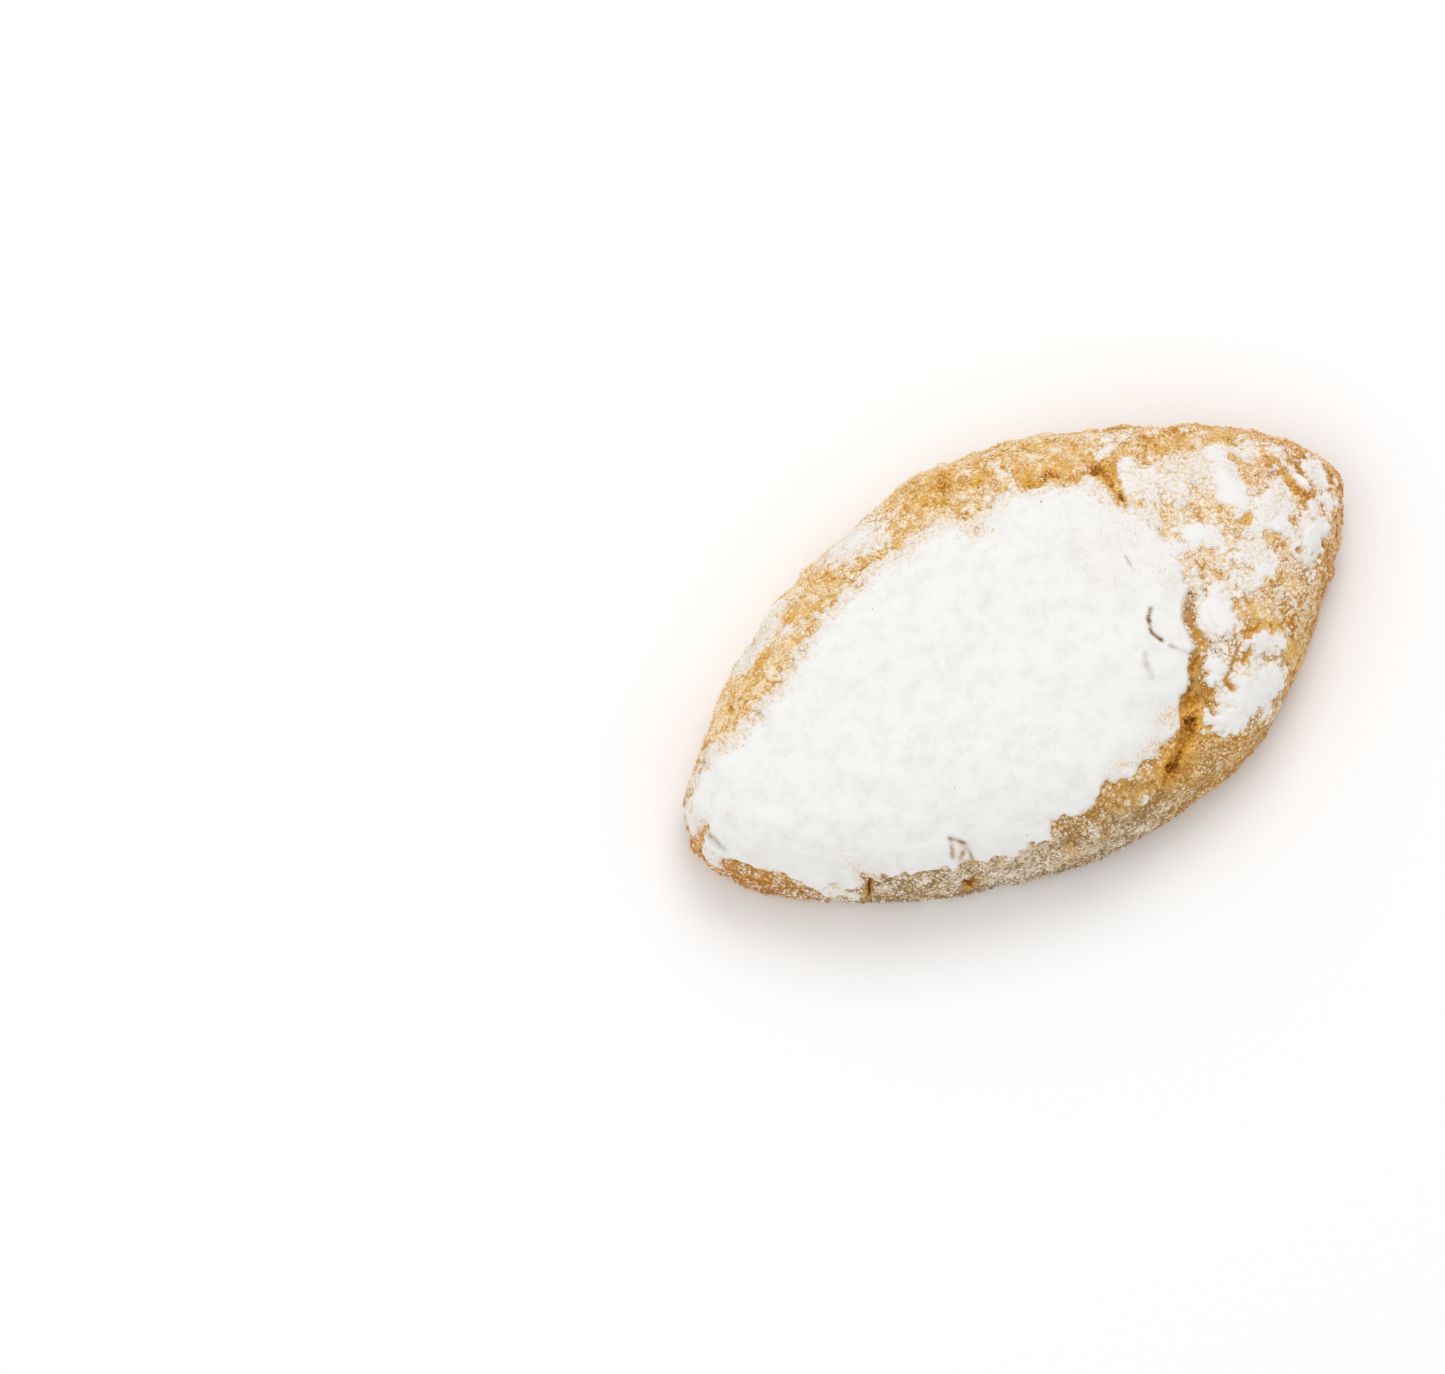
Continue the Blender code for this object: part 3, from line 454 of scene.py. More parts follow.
def set_mesh(name, points, faces, attributes, uv=None):
    """A mesh object from arrays: points in mm, faces as rows of corners, one number a point for each name."""
    mesh = bpy.data.meshes.new(name)
    corners = faces.shape[1]
    mesh.vertices.add(len(points))
    mesh.vertices.foreach_set("co", (points * MM).astype(np.float32).ravel())
    mesh.loops.add(faces.size)
    mesh.loops.foreach_set("vertex_index", faces.astype(np.int32).ravel())
    mesh.polygons.add(len(faces))
    mesh.polygons.foreach_set("loop_start", np.arange(0, faces.size, corners, dtype=np.int32))
    mesh.update(calc_edges=True)
    for label, values in attributes.items():
        layer = mesh.attributes.new(label, "FLOAT", "POINT")
        layer.data.foreach_set("value", values.astype(np.float32).ravel())
    if uv is not None:
        layer = mesh.uv_layers.new(name="OFBake")
        layer.uv.foreach_set("vector", uv.astype(np.float32).ravel())
    mesh.validate()
    mesh.shade_smooth()
    obj = bpy.data.objects.new(name, mesh)
    bpy.context.scene.collection.objects.link(obj)
    return obj


# The lattice of the biscuit: stations crowd towards the craggy right-hand end, and rows towards the bare rims
STATIONS = 404
TOP_ROWS = 206
FOOT_ROWS = 36
RIGHT_CROWDING = 0.80
RIM_CROWDING = 0.42

along_line = np.linspace(0, 1, STATIONS) ** RIGHT_CROWDING
top_line = np.linspace(0, 1, TOP_ROWS, endpoint=False)
foot_line = np.linspace(1, 2, FOOT_ROWS, endpoint=False)
along_grid, ring_grid = np.meshgrid(along_line[1:-1], np.concatenate([top_line, foot_line]), indexing="ij")
station_x = -HALF_LENGTH * np.cos(np.pi * along_grid)
crowding = RIM_CROWDING * (1 - blend(8.0, 17.0, station_x)) * (ring_grid < 1)
ring_grid = ring_grid - crowding * np.sin(2 * np.pi * ring_grid) / (2 * np.pi)

smooth_grid = biscuit_point(along_grid, ring_grid)
normal_grid = biscuit_normal(along_grid, ring_grid)
depth_grid = crack_depth(smooth_grid)
height_grid = crust_height(smooth_grid, depth_grid) * above_foot(smooth_grid)
crust_grid = smooth_grid + normal_grid * height_grid[..., None]
crust_grid[..., 2] = np.where(smooth_grid[..., 2] < 0.02, 0.0, np.maximum(crust_grid[..., 2], 0.0))

# The middle of the box moves over the origin, as in the solid
TO_ORIGIN = -(crust_grid.min(axis=(0, 1)) + crust_grid.max(axis=(0, 1))) / 2 * (1, 1, 0)


def lattice_mesh(name, grid, attributes):
    """Closed skin over a lattice that wraps round its rings, with a point at each end."""
    stations, rows = grid.shape[:2]
    left_tip = biscuit_point(np.array(0.0), np.array(0.5))
    right_tip = biscuit_point(np.array(1.0), np.array(0.5))
    points = np.concatenate([grid.reshape(-1, 3), left_tip[None], right_tip[None]]) + TO_ORIGIN
    index = np.arange(stations * rows).reshape(stations, rows)
    following = np.roll(index, -1, axis=1)
    quads = np.stack([index[:-1], following[:-1], following[1:], index[1:]], axis=-1).reshape(-1, 4)
    triangles = np.concatenate([quads[:, [0, 1, 2]], quads[:, [0, 2, 3]]])
    left_fan = np.stack([np.full(rows, stations * rows), following[0], index[0]], axis=-1)
    right_fan = np.stack([np.full(rows, stations * rows + 1), index[-1], following[-1]], axis=-1)
    faces = np.concatenate([triangles, left_fan, right_fan])
    values = {
        label: np.append(field, field[[0, -1]].mean(axis=1)) for label, field in attributes.items()
    }
    along = np.concatenate([np.repeat(np.arange(1, stations + 1), rows), [0, stations + 1]]) / (stations + 1)
    around = np.concatenate([np.tile(np.arange(rows), stations), [rows / 2, rows / 2]]) / rows
    corner_around = around[faces]
    wraps = corner_around.max(axis=1) - corner_around.min(axis=1) > 0.5
    corner_around[wraps] += corner_around[wraps] < 0.3
    uv = np.stack([along[faces], corner_around * 0.99], axis=-1)
    return set_mesh(name, points, faces, values, uv)


crust_moist_and_shade = moist_and_shade_amount(smooth_grid, depth_grid)
crust_bake_and_shade = bake_and_shade_amount(smooth_grid)
crust_dust = dust_amount(smooth_grid) - 1.2 * np.maximum(crust_moist_and_shade - 0.08, 0)
biscuit = lattice_mesh(
    "baked_biscuit",
    crust_grid,
    {
        "dust": crust_dust,
        "moist": crust_moist_and_shade,
        "brown": brown_amount(smooth_grid),
        "dull": dull_and_shade_amount(smooth_grid),
        "baked": crust_bake_and_shade,
    },
)


def linear(hex_colour):
    """Linear RGBA from an sRGB hex value: a channel to 0.04045 over 12.92, else ((c + 0.055) / 1.055)^2.4."""
    channels = np.array([int(hex_colour[i : i + 2], 16) for i in (1, 3, 5)]) / 255
    curve = np.where(channels <= 0.04045, channels / 12.92, ((channels + 0.055) / 1.055) ** 2.4)
    return (*curve.tolist(), 1.0)


def per_metre(millimetres):
    """Scale of a pattern whose cells are that wide, on Object coordinates in metres."""
    return 1 / (millimetres * MM)


def fill(node, settings):
    """Each setting goes to the property, ramp or socket it names; an output of another node is linked in."""
    for key, value in settings.items():
        if isinstance(value, bpy.types.NodeSocket):
            node.id_data.links.new(value, node.inputs[key])
        elif key == "stops":
            elements = node.color_ramp.elements
            while len(elements) < len(value):
                elements.new(1.0)
            for element, (place, colour) in zip(elements, value):
                element.position = place
                element.color = linear(colour)
        elif isinstance(key, str) and hasattr(node, key):
            setattr(node, key, value)
        else:
            node.inputs[key].default_value = value


def add(tree, kind, settings, output=None):
    """One more shader node, filled and laid out in rows of eight: gives the output asked for or its first."""
    count = len(tree.nodes)
    node = tree.nodes.new(kind)
    node.location = (240 * (count % 8) - 2200, -300 * (count // 8))
    fill(node, settings)
    return node.outputs[output] if output else next(socket for socket in node.outputs if socket.enabled)


def blank_material(name):
    """A new material, its node tree and its shader."""
    material = bpy.data.materials.new(name)
    material.use_nodes = True
    return material, material.node_tree, material.node_tree.nodes["Principled BSDF"]


GOLD_PALE = "#F8E3C0"
GOLD = "#EBC88F"
GOLD_DEEP = "#BE8630"
BROWN_PALE = "#F7D9B4"
BROWN = "#DCA260"
BROWN_DEEP = "#AC6A26"
# Greyed crust: painted shade on the lower near side, and the dull olive of the main crack
DULL_AND_SHADE_PALE = "#EEE3D2"
DULL_AND_SHADE = "#D0BD9F"
DULL_AND_SHADE_DEEP = "#947A58"
AMBER_PALE = "#F6CC80"
AMBER = "#E4AA4A"
# Amber going over to painted shade where the hollows are deepest
AMBER_DARK = "#B0720E"
HOLLOW_SHADE = "#8A4A04"
DUST_THIN = "#FAEBDD"
DUST_THICK = "#F9F4EF"
GRAIN_SIZE = 0.42  # sugar and almond granules in the skin
CLUMP_SIZE = 0.90  # round clumps of them, which show where the crust is golden
POWDER_SIZE = 0.30  # clots of powder between them
MOTTLE_SIZE = 1.5  # lighter and darker patches of crust


def crust_material(name):
    """Baked almond crust: matt, granular and a little translucent, under whatever dust lies on it.

    Each granule is painted pale on top as a highlight and deeper gold between as shade, and so is each clump;
    hollows are amber and end in painted shade; powder frosts the tops first, and fills the gaps where it lies
    thick.
    """
    material, tree, shader = blank_material(name)
    place = add(tree, "ShaderNodeTexCoord", {}, "Object")
    dust, moist, dull, baked, brown = (
        add(tree, "ShaderNodeAttribute", {"attribute_name": label}, "Fac")
        for label in ("dust", "moist", "dull", "baked", "brown")
    )
    grain, clump = (
        add(tree, "ShaderNodeTexVoronoi",
            {"feature": "F1", "Scale": per_metre(size), "Randomness": uneven, "Vector": place})
        for size, uneven in ((GRAIN_SIZE, 0.9), (CLUMP_SIZE, 0.85))
    )
    fine, mottle = (
        add(tree, "ShaderNodeTexNoise",
            {"Scale": per_metre(size), "Detail": detail, "Roughness": 0.6, "Vector": place})
        for size, detail in ((POWDER_SIZE, 2.0), (MOTTLE_SIZE, 3.0))
    )

    # 0 on a granule's top and 1 in the gaps, painted deeper there as shade and paler on top as a highlight;
    # clumps show only where the crust is golden
    gap, clump_gap = (
        add(tree, "ShaderNodeMapRange", {"From Min": low, "From Max": high, "Value": away})
        for away, low, high in ((grain, 0.15, 0.75), (clump, 0.25, 0.72))
    )
    golden_share = add(tree, "ShaderNodeMath", {"operation": "SUBTRACT", 0: 1.0, 1: dull})
    clump_gap = add(tree, "ShaderNodeMath", {"operation": "MULTIPLY", 0: clump_gap, 1: golden_share})
    tint = add(tree, "ShaderNodeSeparateColor", {"Color": grain.node.outputs["Color"]})
    sums = []
    for total, terms in (
        (-0.84, ((gap, 0.62), (tint, 0.28), (mottle, 1.05), (clump_gap, 0.56), (baked, 1.0))),
        (dust, ((gap, -0.45), (clump_gap, -0.62), (fine, -0.62), (moist, -0.5))),
        (fine, ((gap, -0.8), (clump_gap, -1.6))),
    ):
        for source, share in terms:
            total = add(tree, "ShaderNodeMath",
                        {"operation": "MULTIPLY_ADD", 0: source, 1: share, 2: total})
        sums.append(total)
    tone, catch, relief = sums

    wet = add(tree, "ShaderNodeMath", {"operation": "MULTIPLY_ADD", 0: gap, 1: 1.25, 2: 0.60})
    wet = add(tree, "ShaderNodeMath", {"operation": "MULTIPLY", 0: wet, 1: moist})
    golden, browned, dulled_and_shaded, inside, powder_colour = (
        add(tree, "ShaderNodeValToRGB", {"Fac": source, "stops": stops})
        for source, stops in (
            (tone, ((0.0, GOLD_PALE), (0.42, GOLD), (1.0, GOLD_DEEP))),
            (tone, ((0.0, BROWN_PALE), (0.42, BROWN), (1.0, BROWN_DEEP))),
            (tone, ((0.10, DULL_AND_SHADE_PALE), (0.42, DULL_AND_SHADE), (0.80, DULL_AND_SHADE_DEEP))),
            (wet, ((0.15, AMBER_PALE), (0.42, AMBER), (0.72, AMBER_DARK), (1.0, HOLLOW_SHADE))),
            (dust, ((0.2, DUST_THIN), (0.75, DUST_THICK))),
        )
    )
    in_hollow, frost, film = (
        add(tree, "ShaderNodeMapRange", {"From Min": low, "From Max": high, "To Max": most, "Value": source})
        for source, low, high, most in (
            (wet, 0.06, 0.40, 0.94), (catch, -0.38, -0.08, 0.96), (dust, 0.42, 0.95, 0.40)
        )
    )
    powder = add(tree, "ShaderNodeMath", {"operation": "MAXIMUM", 0: frost, 1: film})
    # Over the gold: painted shade greying the near side, the oven's browning, amber hollows ending in painted
    # shade, then powder
    surface = golden
    for share, over in ((dull, dulled_and_shaded), (brown, browned), (in_hollow, inside), (powder, powder_colour)):
        surface = add(tree, "ShaderNodeMix", {"data_type": "RGBA", "Factor": share, "A": surface, "B": over})
    fill(shader, {
        "Base Color": surface,
        "Normal": add(tree, "ShaderNodeBump", {"Strength": 0.6, "Distance": 0.10 * MM, "Height": relief}),
        "Roughness": add(tree, "ShaderNodeMapRange", {"To Min": 0.55, "To Max": 0.95, "Value": powder}),
        "Specular IOR Level": 0.12,
        "Subsurface Weight": 0.10,
        "Subsurface Radius": (1.0, 0.9, 0.75),
        "Subsurface Scale": 0.25 * MM,
        "IOR": 1.45,
    })
    return material


biscuit.data.materials.append(crust_material("baked almond crust"))
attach(biscuit, "root")
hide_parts("macaroon")


# ---------- The sheet of icing sugar ----------
# The shaped dough was pressed into icing sugar, which dried in the oven to a smooth brittle sheet about
# half a millimetre thick. It has torn round its edge, thinned to islands on the far left, and cracked.

SHEET_THICKNESS = 0.42
BURIED = 0.35  # how far each shell's hidden underside lies in the crust
EDGE_SUNK = 0.12  # how far its torn edge dips below the crust's surface
# Hairlines and creases that don't open down to the crust, where the sugar dips and is painted brown as shade:
# line seen from above, half width, strength
VEINS = (
    (((-17.4, -14.7), (-16.9, -15.1), (-16.3, -15.7), (-16.0, -16.0)), 0.24, 1.3),
    (((-17.4, -14.7), (-17.6, -15.4), (-17.9, -16.2)), 0.20, 1.1),
    (((-16.0, -16.0), (-16.8, -16.4), (-17.5, -16.8), (-17.5, -17.6)), 0.18, 1.0),
    (((-16.0, -16.0), (-16.1, -16.9), (-16.2, -17.6), (-16.4, -18.4)), 0.18, 0.9),
    (((-38.4, -0.5), (-38.2, -1.7), (-37.9, -3.0)), 0.26, 0.8),
    (((13.3, -4.4), (12.6, -5.2), (12.2, -6.0), (12.0, -6.8), (12.5, -7.9)), 0.21, 1.7),
    (((10.3, -8.3), (9.8, -9.4), (9.6, -10.8)), 0.30, 0.45),
    (((13.1, -8.9), (13.9, -9.8), (14.8, -10.8)), 0.22, 0.55),
    (((13.8, 1.8), (13.8, 0.0)), 0.13, 0.7),
    (((16.9, -10.6), (18.3, -10.9), (19.5, -10.7)), 0.13, 0.6),
    (((18.0, -5.8), (18.9, -5.5), (19.9, -5.6)), 0.13, 0.35),
    (((18.6, -7.8), (18.4, -8.6), (18.6, -9.4)), 0.15, 0.2),
)
# Where the crust shows through a thin sheet: centre x, y, half length, half width, amount
THIN_SPOTS = (
    (-27.2, -12.4, 0.9, 1.6, 0.80), (-27.6, -10.2, 0.5, 1.6, 0.45), (-35.9, -0.4, 0.9, 1.0, 0.50),
    (-38.4, 1.2, 1.0, 1.4, 0.60), (-17.0, -16.5, 0.9, 1.4, 0.90), (14.0, -8.6, 1.4, 1.6, 0.35),
    (15.6, 4.0, 2.0, 3.0, 0.55), (16.6, -2.0, 1.6, 3.0, 0.55), (14.4, 9.6, 1.6, 2.0, 0.60),
    (1.4, 13.4, 1.6, 1.6, 0.80), (-36.6, -5.6, 1.6, 1.2, 0.45), (9.4, -15.2, 2.2, 1.4, 1.00),
    (6.0, -17.2, 2.8, 1.1, 1.00), (12.0, 3.0, 6.0, 8.0, 0.30), (-26.4, -13.6, 1.6, 1.2, 0.60),
    (-31.2, -12.4, 2.0, 0.8, 1.00), (-33.6, -10.2, 1.3, 0.8, 0.80), (2.2, -17.0, 2.0, 1.0, 0.80),
)
# Soft ridges where the sheet bends: line seen from above, half width, height
RIDGES = (
    (((-33.8, -2.6), (-32.6, -3.6), (-30.6, -6.6), (-28.9, -8.0), (-27.6, -11.0)), 0.8, 0.20),
    (((-28.4, -8.6), (-25.0, -8.0), (-22.6, -8.8)), 0.7, 0.07),
    (((-21.0, -3.0), (-15.0, -6.4), (-9.0, -8.4)), 0.6, 0.05),
    (((2.0, 6.0), (6.0, 3.6), (9.6, 3.2)), 0.6, 0.05),
)


def open_cracks(points):
    """Distance outside the nearest crack wall, negative in the crack, where no sugar is left."""
    wander = noises(points, (0.25, 1.6, 3), (0.18, 0.6, 31))
    free = np.full(points.shape[:-1], 9.0)
    for line, half_wide, _ in CRACKS.values():
        wall = 0.85 * half_wide - wander * min(1, half_wide)
        free = np.minimum(free, distance_to_line(points, line) - wall)
    return free


def sheet_cover(points):
    """Distance inside the sheet's torn edge: small tears everywhere, feathered islands on the far side."""
    tears = noises(points, (0.35, 1.5, 5), (0.25, 3.0, 6), (0.30, 0.7, 32))
    islands = noises(points, (0.5, 1.2, 33), (0.8, 0.6, 34))
    loose = far_side(points) + blend(14.5, 17.0, points[..., 0]) * blend(-5.0, -3.0, points[..., 1])
    ragged = inside_edge(points, SHEET_EDGE) + tears + np.minimum(loose, 1) * islands
    return np.minimum(ragged, open_cracks(points))


def vein_strength(points):
    """How deep the creases are along the hairlines and how much shade is painted into them: a bell across
    each line, broken up by noise.
    """
    wander = 0.12 * noise(points, 1.0, 35)
    strength = np.maximum.reduce([
        much * bell(distance_to_line(points, line) + wander, half_wide) for line, half_wide, much in VEINS
    ])
    return strength * (0.75 + 0.5 * noise(points, 0.5, 36))


def brushed(points, size, seed):
    """Noise drawn out four times longer along one direction, like the marks of a palm over powder."""
    along = 0.866 * points[..., 0] - 0.5 * points[..., 1]
    across = 0.5 * points[..., 0] + 0.866 * points[..., 1]
    return noise(np.stack([along / 4, across, points[..., 2]], axis=-1), size, seed)


def edge_rise(cover, reach):
    """0 at a torn edge, nearing 1 within a few times reach inside it: 1 - exp(-cover / reach)."""
    return 1 - np.exp(-np.maximum(cover, 0) / reach)


def sheet_height(points, cover):
    """Sugar rises from its torn edge to its full thickness, slowly where it is feathered, in soft waves."""
    thickness = SHEET_THICKNESS * edge_rise(cover, 0.45 + 1.1 * far_side(points))
    waves = noises(points, (0.08, 5.0, 41), (0.05, 2.0, 42)) + 0.04 * brushed(points, 0.9, 43)
    waves = waves - 0.15 * vein_strength(points)
    for line, half_wide, high in RIDGES:
        waves = waves + high * bell(distance_to_line(points, line), half_wide)
    return 0.10 + thickness + waves * blend(0.0, 1.5, cover) + 0.02 * noise(points, 0.45, 44)


def sugar_shell(name, x_range, step, rows, cover, height, drape, fade):
    """Closed shell of sugar over the crust wherever cover is positive.

    A lattice is laid over the top of the biscuit. Cells that touch the cover are kept, and their outer
    corners are slid along the cover's slope onto its edge. The outer skin stands height above the dough and
    its share (drape) of the crags, the inner skin is buried in the crust, and a wall joins them along the
    edge. The sugar thins over the distance fade inside the edge.
    """
    stations = np.arccos(-np.arange(*x_range, step) / HALF_LENGTH) / np.pi
    along, ring = np.meshgrid(stations, np.linspace(0.0, 1.0, rows), indexing="ij")
    value = cover(biscuit_point(along, ring))
    kept = (value[:-1, :-1] > 0) | (value[1:, :-1] > 0) | (value[:-1, 1:] > 0) | (value[1:, 1:] > 0)
    slope_i, slope_j = np.gradient(value)
    slide = np.where(value < 0, -value / (slope_i**2 + slope_j**2 + 1e-6), 0)
    along = along + np.clip(slide * slope_i, -1, 1) * np.gradient(along, axis=0)
    ring = np.clip(ring + np.clip(slide * slope_j, -1, 1) * np.gradient(ring, axis=1), 0, 1)

    index = np.arange(value.size).reshape(value.shape)
    quads = np.stack([index[:-1, :-1], index[:-1, 1:], index[1:, 1:], index[1:, :-1]], axis=-1)[kept]
    used, quads = np.unique(quads, return_inverse=True)
    quads = quads.reshape(-1, 4)
    along, ring = along.ravel()[used], ring.ravel()[used]
    smooth = biscuit_point(along, ring)
    normal = biscuit_normal(along, ring)
    covered = cover(smooth)
    crust = crust_height(smooth, crack_depth(smooth))
    on_top = blend(-0.05, 0.45, covered)
    draped = dough_height(smooth) + drape * CRAG_HEIGHT * crags(smooth)
    lying = (1 - on_top) * (crust - EDGE_SUNK) + on_top * draped
    standing = (lying + height(smooth, covered)) * above_foot(smooth)
    outer = smooth + normal * standing[:, None] + TO_ORIGIN
    inner = smooth + normal * (np.minimum(crust, standing) - BURIED)[:, None] + TO_ORIGIN

    # An edge whose way back isn't used by a neighbour is on the rim and gets a piece of wall
    count = len(used)
    starts, ends = quads.ravel(), np.roll(quads, -1, axis=1).ravel()
    rim = ~np.isin(starts * count + ends, ends * count + starts)
    starts, ends = starts[rim], ends[rim]
    wall = np.stack([ends, starts, starts + count, ends + count], axis=-1)
    faces = np.concatenate([quads, quads[:, ::-1] + count, wall])
    points = np.concatenate([outer, inner])
    thin = 1 - blend(0.0, fade + 2.4 * far_side(smooth), covered)
    veil = 0.9 * (drape - 0.5) * (1 + 0.8 * noise(smooth, 2.2, 65))
    thin = np.maximum.reduce([thin, veil, *bells(smooth, THIN_SPOTS)])
    attributes = {"thin": np.tile(thin, 2), "vein": np.tile(vein_strength(smooth), 2)}
    # Outer skin on the upper half of the map and inner skin on the lower one
    across = points[:, 0] / (2.2 * HALF_LENGTH) + 0.5
    up = points[:, 1] / (4.4 * HALF_LENGTH) + np.repeat([0.75, 0.25], count)
    return set_mesh(name, points, faces, attributes, np.stack([across, up], axis=-1)[faces])


SUGAR = "#F5F4F1"
SUGAR_GREY = "#EDECE9"
SUGAR_THIN = "#F0E6E0"
SUGAR_SHEER = "#F3E4CC"
SUGAR_WORN = "#DCC39C"
SUGAR_CREASE_SHADE = "#94703F"
SUGAR_SPECK = "#BFAA8E"
SUGAR_MOTTLE_SIZE = 1.8
SUGAR_POWDER_SIZE = 0.35  # the real powder is ten times finer, which wouldn't show
SPECK_SPACING = 2.4


def sugar_material(name):
    """Dried icing sugar: dead matt white powder, faintly mottled, creamy where it is thin, with stray specks
    and painted shade along its creases.

    The crust shows through pinholes, which crowd together where the sugar is thin.
    """
    material, tree, shader = blank_material(name)
    place = add(tree, "ShaderNodeTexCoord", {}, "Object")
    thin, vein = (
        add(tree, "ShaderNodeAttribute", {"attribute_name": label}, "Fac") for label in ("thin", "vein")
    )
    slow, powder = (
        add(tree, "ShaderNodeTexNoise",
            {"Scale": per_metre(size), "Detail": detail, "Roughness": 0.65, "Vector": place})
        for size, detail in ((SUGAR_MOTTLE_SIZE, 4.0), (SUGAR_POWDER_SIZE, 3.0))
    )
    away = add(tree, "ShaderNodeTexVoronoi",
               {"feature": "F1", "Scale": per_metre(SPECK_SPACING), "Vector": place})
    chance = add(tree, "ShaderNodeSeparateColor", {"Color": away.node.outputs["Color"]})
    crowded = add(tree, "ShaderNodeMath", {"operation": "MULTIPLY_ADD", 0: thin, 1: 0.31, 2: powder})
    speck_size, creamy, pinhole = (
        add(tree, "ShaderNodeMapRange", {"From Min": low, "From Max": high, "To Max": most, "Value": source})
        for source, low, high, most in (
            (chance, 0.55, 1.0, 0.06), (thin, 0.05, 1.0, 0.75), (crowded, 0.66, 0.88, 0.85)
        )
    )
    speck = add(tree, "ShaderNodeMath", {"operation": "LESS_THAN", 0: away, 1: speck_size})
    surface, through = (
        add(tree, "ShaderNodeValToRGB", {"Fac": source, "stops": stops})
        for source, stops in (
            (slow, ((0.34, SUGAR_GREY), (0.54, SUGAR))), (powder, ((0.45, SUGAR_SHEER), (0.62, SUGAR_WORN)))
        )
    )
    for share, over in (
        (creamy, linear(SUGAR_THIN)), (pinhole, through),
        (vein, linear(SUGAR_CREASE_SHADE)), (speck, linear(SUGAR_SPECK)),
    ):
        surface = add(tree, "ShaderNodeMix", {"data_type": "RGBA", "Factor": share, "A": surface, "B": over})
    fill(shader, {
        "Base Color": surface,
        "Normal": add(tree, "ShaderNodeBump", {"Strength": 0.35, "Distance": 0.06 * MM, "Height": powder}),
        "Roughness": 1.0,
        "Specular IOR Level": 0.15,
    })
    return material


icing_sugar = sugar_material("dried icing sugar")
sheet = sugar_shell(
    "icing_sugar_sheet", x_range=(-39.2, 19.6), step=0.22, rows=255,
    cover=sheet_cover, height=sheet_height, drape=0.5, fade=0.6,
)
sheet.data.materials.append(icing_sugar)
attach(sheet, "root")


# ---------- Loose plates of sugar ----------
# On the right-hand end the sheet has broken up, and a few thick plates of it are left between the cracks,
# each about half a millimetre thick and rounded at its torn edge.

PLATE_THICKNESS = 0.36
EDGE_STEP = 0.06  # height of the sharp step at a plate's rim
EDGE_ROUND = 0.5  # distance over which it then rises to its thickness
# Centre x, y, half length, half width
PLATES = (
    (19.1, -8.5, 2.2, 2.5), (16.3, -13.2, 1.5, 1.9), (14.9, -17.7, 2.6, 1.6), (18.1, -16.7, 3.0, 2.1),
    (21.3, -15.8, 2.4, 1.3), (22.0, -13.0, 1.4, 1.2), (22.1, 0.4, 1.6, 1.6), (27.6, 4.0, 1.9, 3.4),
    (30.5, -2.5, 0.9, 1.7), (32.7, -5.2, 1.6, 1.6), (38.0, 0.4, 0.9, 2.2), (35.2, 1.3, 0.5, 1.4),
    (30.6, 0.8, 1.2, 0.7), (28.0, 7.9, 0.8, 0.8),
)


def plate_cover(points):
    """Distance inside the nearest plate: an oval with a ragged rim."""
    ragged = noises(points, (0.55, 1.3, 51), (0.45, 0.6, 52), (0.35, 2.4, 53))
    cover = np.full(points.shape[:-1], -9.0)
    for centre_x, centre_y, half_x, half_y in PLATES:
        reach = np.hypot((points[..., 0] - centre_x) / half_x, (points[..., 1] - centre_y) / half_y)
        cover = np.maximum(cover, (1 - reach) * min(half_x, half_y))
    return np.minimum(cover + ragged, open_cracks(points))


def plate_height(points, cover):
    """A plate is thicker than the sheet and swells a little towards its middle."""
    full = PLATE_THICKNESS + 0.15 * noise(points, 3.0, 54)
    return EDGE_STEP + full * edge_rise(cover, EDGE_ROUND) + 0.04 * noise(points, 0.8, 55)


plates = sugar_shell(
    "icing_sugar_plates", x_range=(11.5, 40.2), step=0.15, rows=320,
    cover=plate_cover, height=plate_height, drape=0.7, fade=0.7,
)
plates.data.materials.append(icing_sugar)
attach(plates, "root")


# ---------- Dusting of sugar ----------
# Loose powder that clings to the high places of the crust in thin patches, thickest on the right-hand end,
# with a few more on the bare bands and the sides.

DUSTING_THICKNESS = 0.22
DUST_HIDES_AT = 0.59  # amount of dust from which it covers the crust


def dusting_cover(points):
    """Positive where the dust is thick enough to hide the crust, broken up at three sizes."""
    broken = noises(points, (0.80, 1.9, 61), (0.50, 0.9, 62), (0.40, 0.5, 63))
    low_down = 1.5 * blend(9.0, 6.0, points[..., 2]) * blend(-38.0, -35.0, points[..., 0])
    cover = 2.6 * (dust_amount(points) - DUST_HIDES_AT) + broken + 0.25 * crags(points) - low_down
    under_sheet = 1.2 - inside_edge(points, SHEET_EDGE)
    return np.minimum(np.minimum(cover, open_cracks(points)), under_sheet)


def dusting_height(points, cover):
    """A thin skin of powder that follows the crags."""
    return 0.02 + DUSTING_THICKNESS * edge_rise(cover, EDGE_ROUND) + 0.05 * noise(points, 0.6, 64)


dusting = sugar_shell(
    "icing_sugar_dusting", x_range=(-39.9, 40.2), step=0.17, rows=330,
    cover=dusting_cover, height=dusting_height, drape=1.0, fade=0.9,
)
dusting.data.materials.append(icing_sugar)
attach(dusting, "root")


# ---------- Granules of the crust ----------
# Coarse ground almond and undissolved sugar stand proud of the bare crust as rounded, frosty grains a fifth
# to half a millimetre across, baked on.

sheet_on_grid = np.minimum(inside_edge(smooth_grid, SHEET_EDGE), open_cracks(smooth_grid))


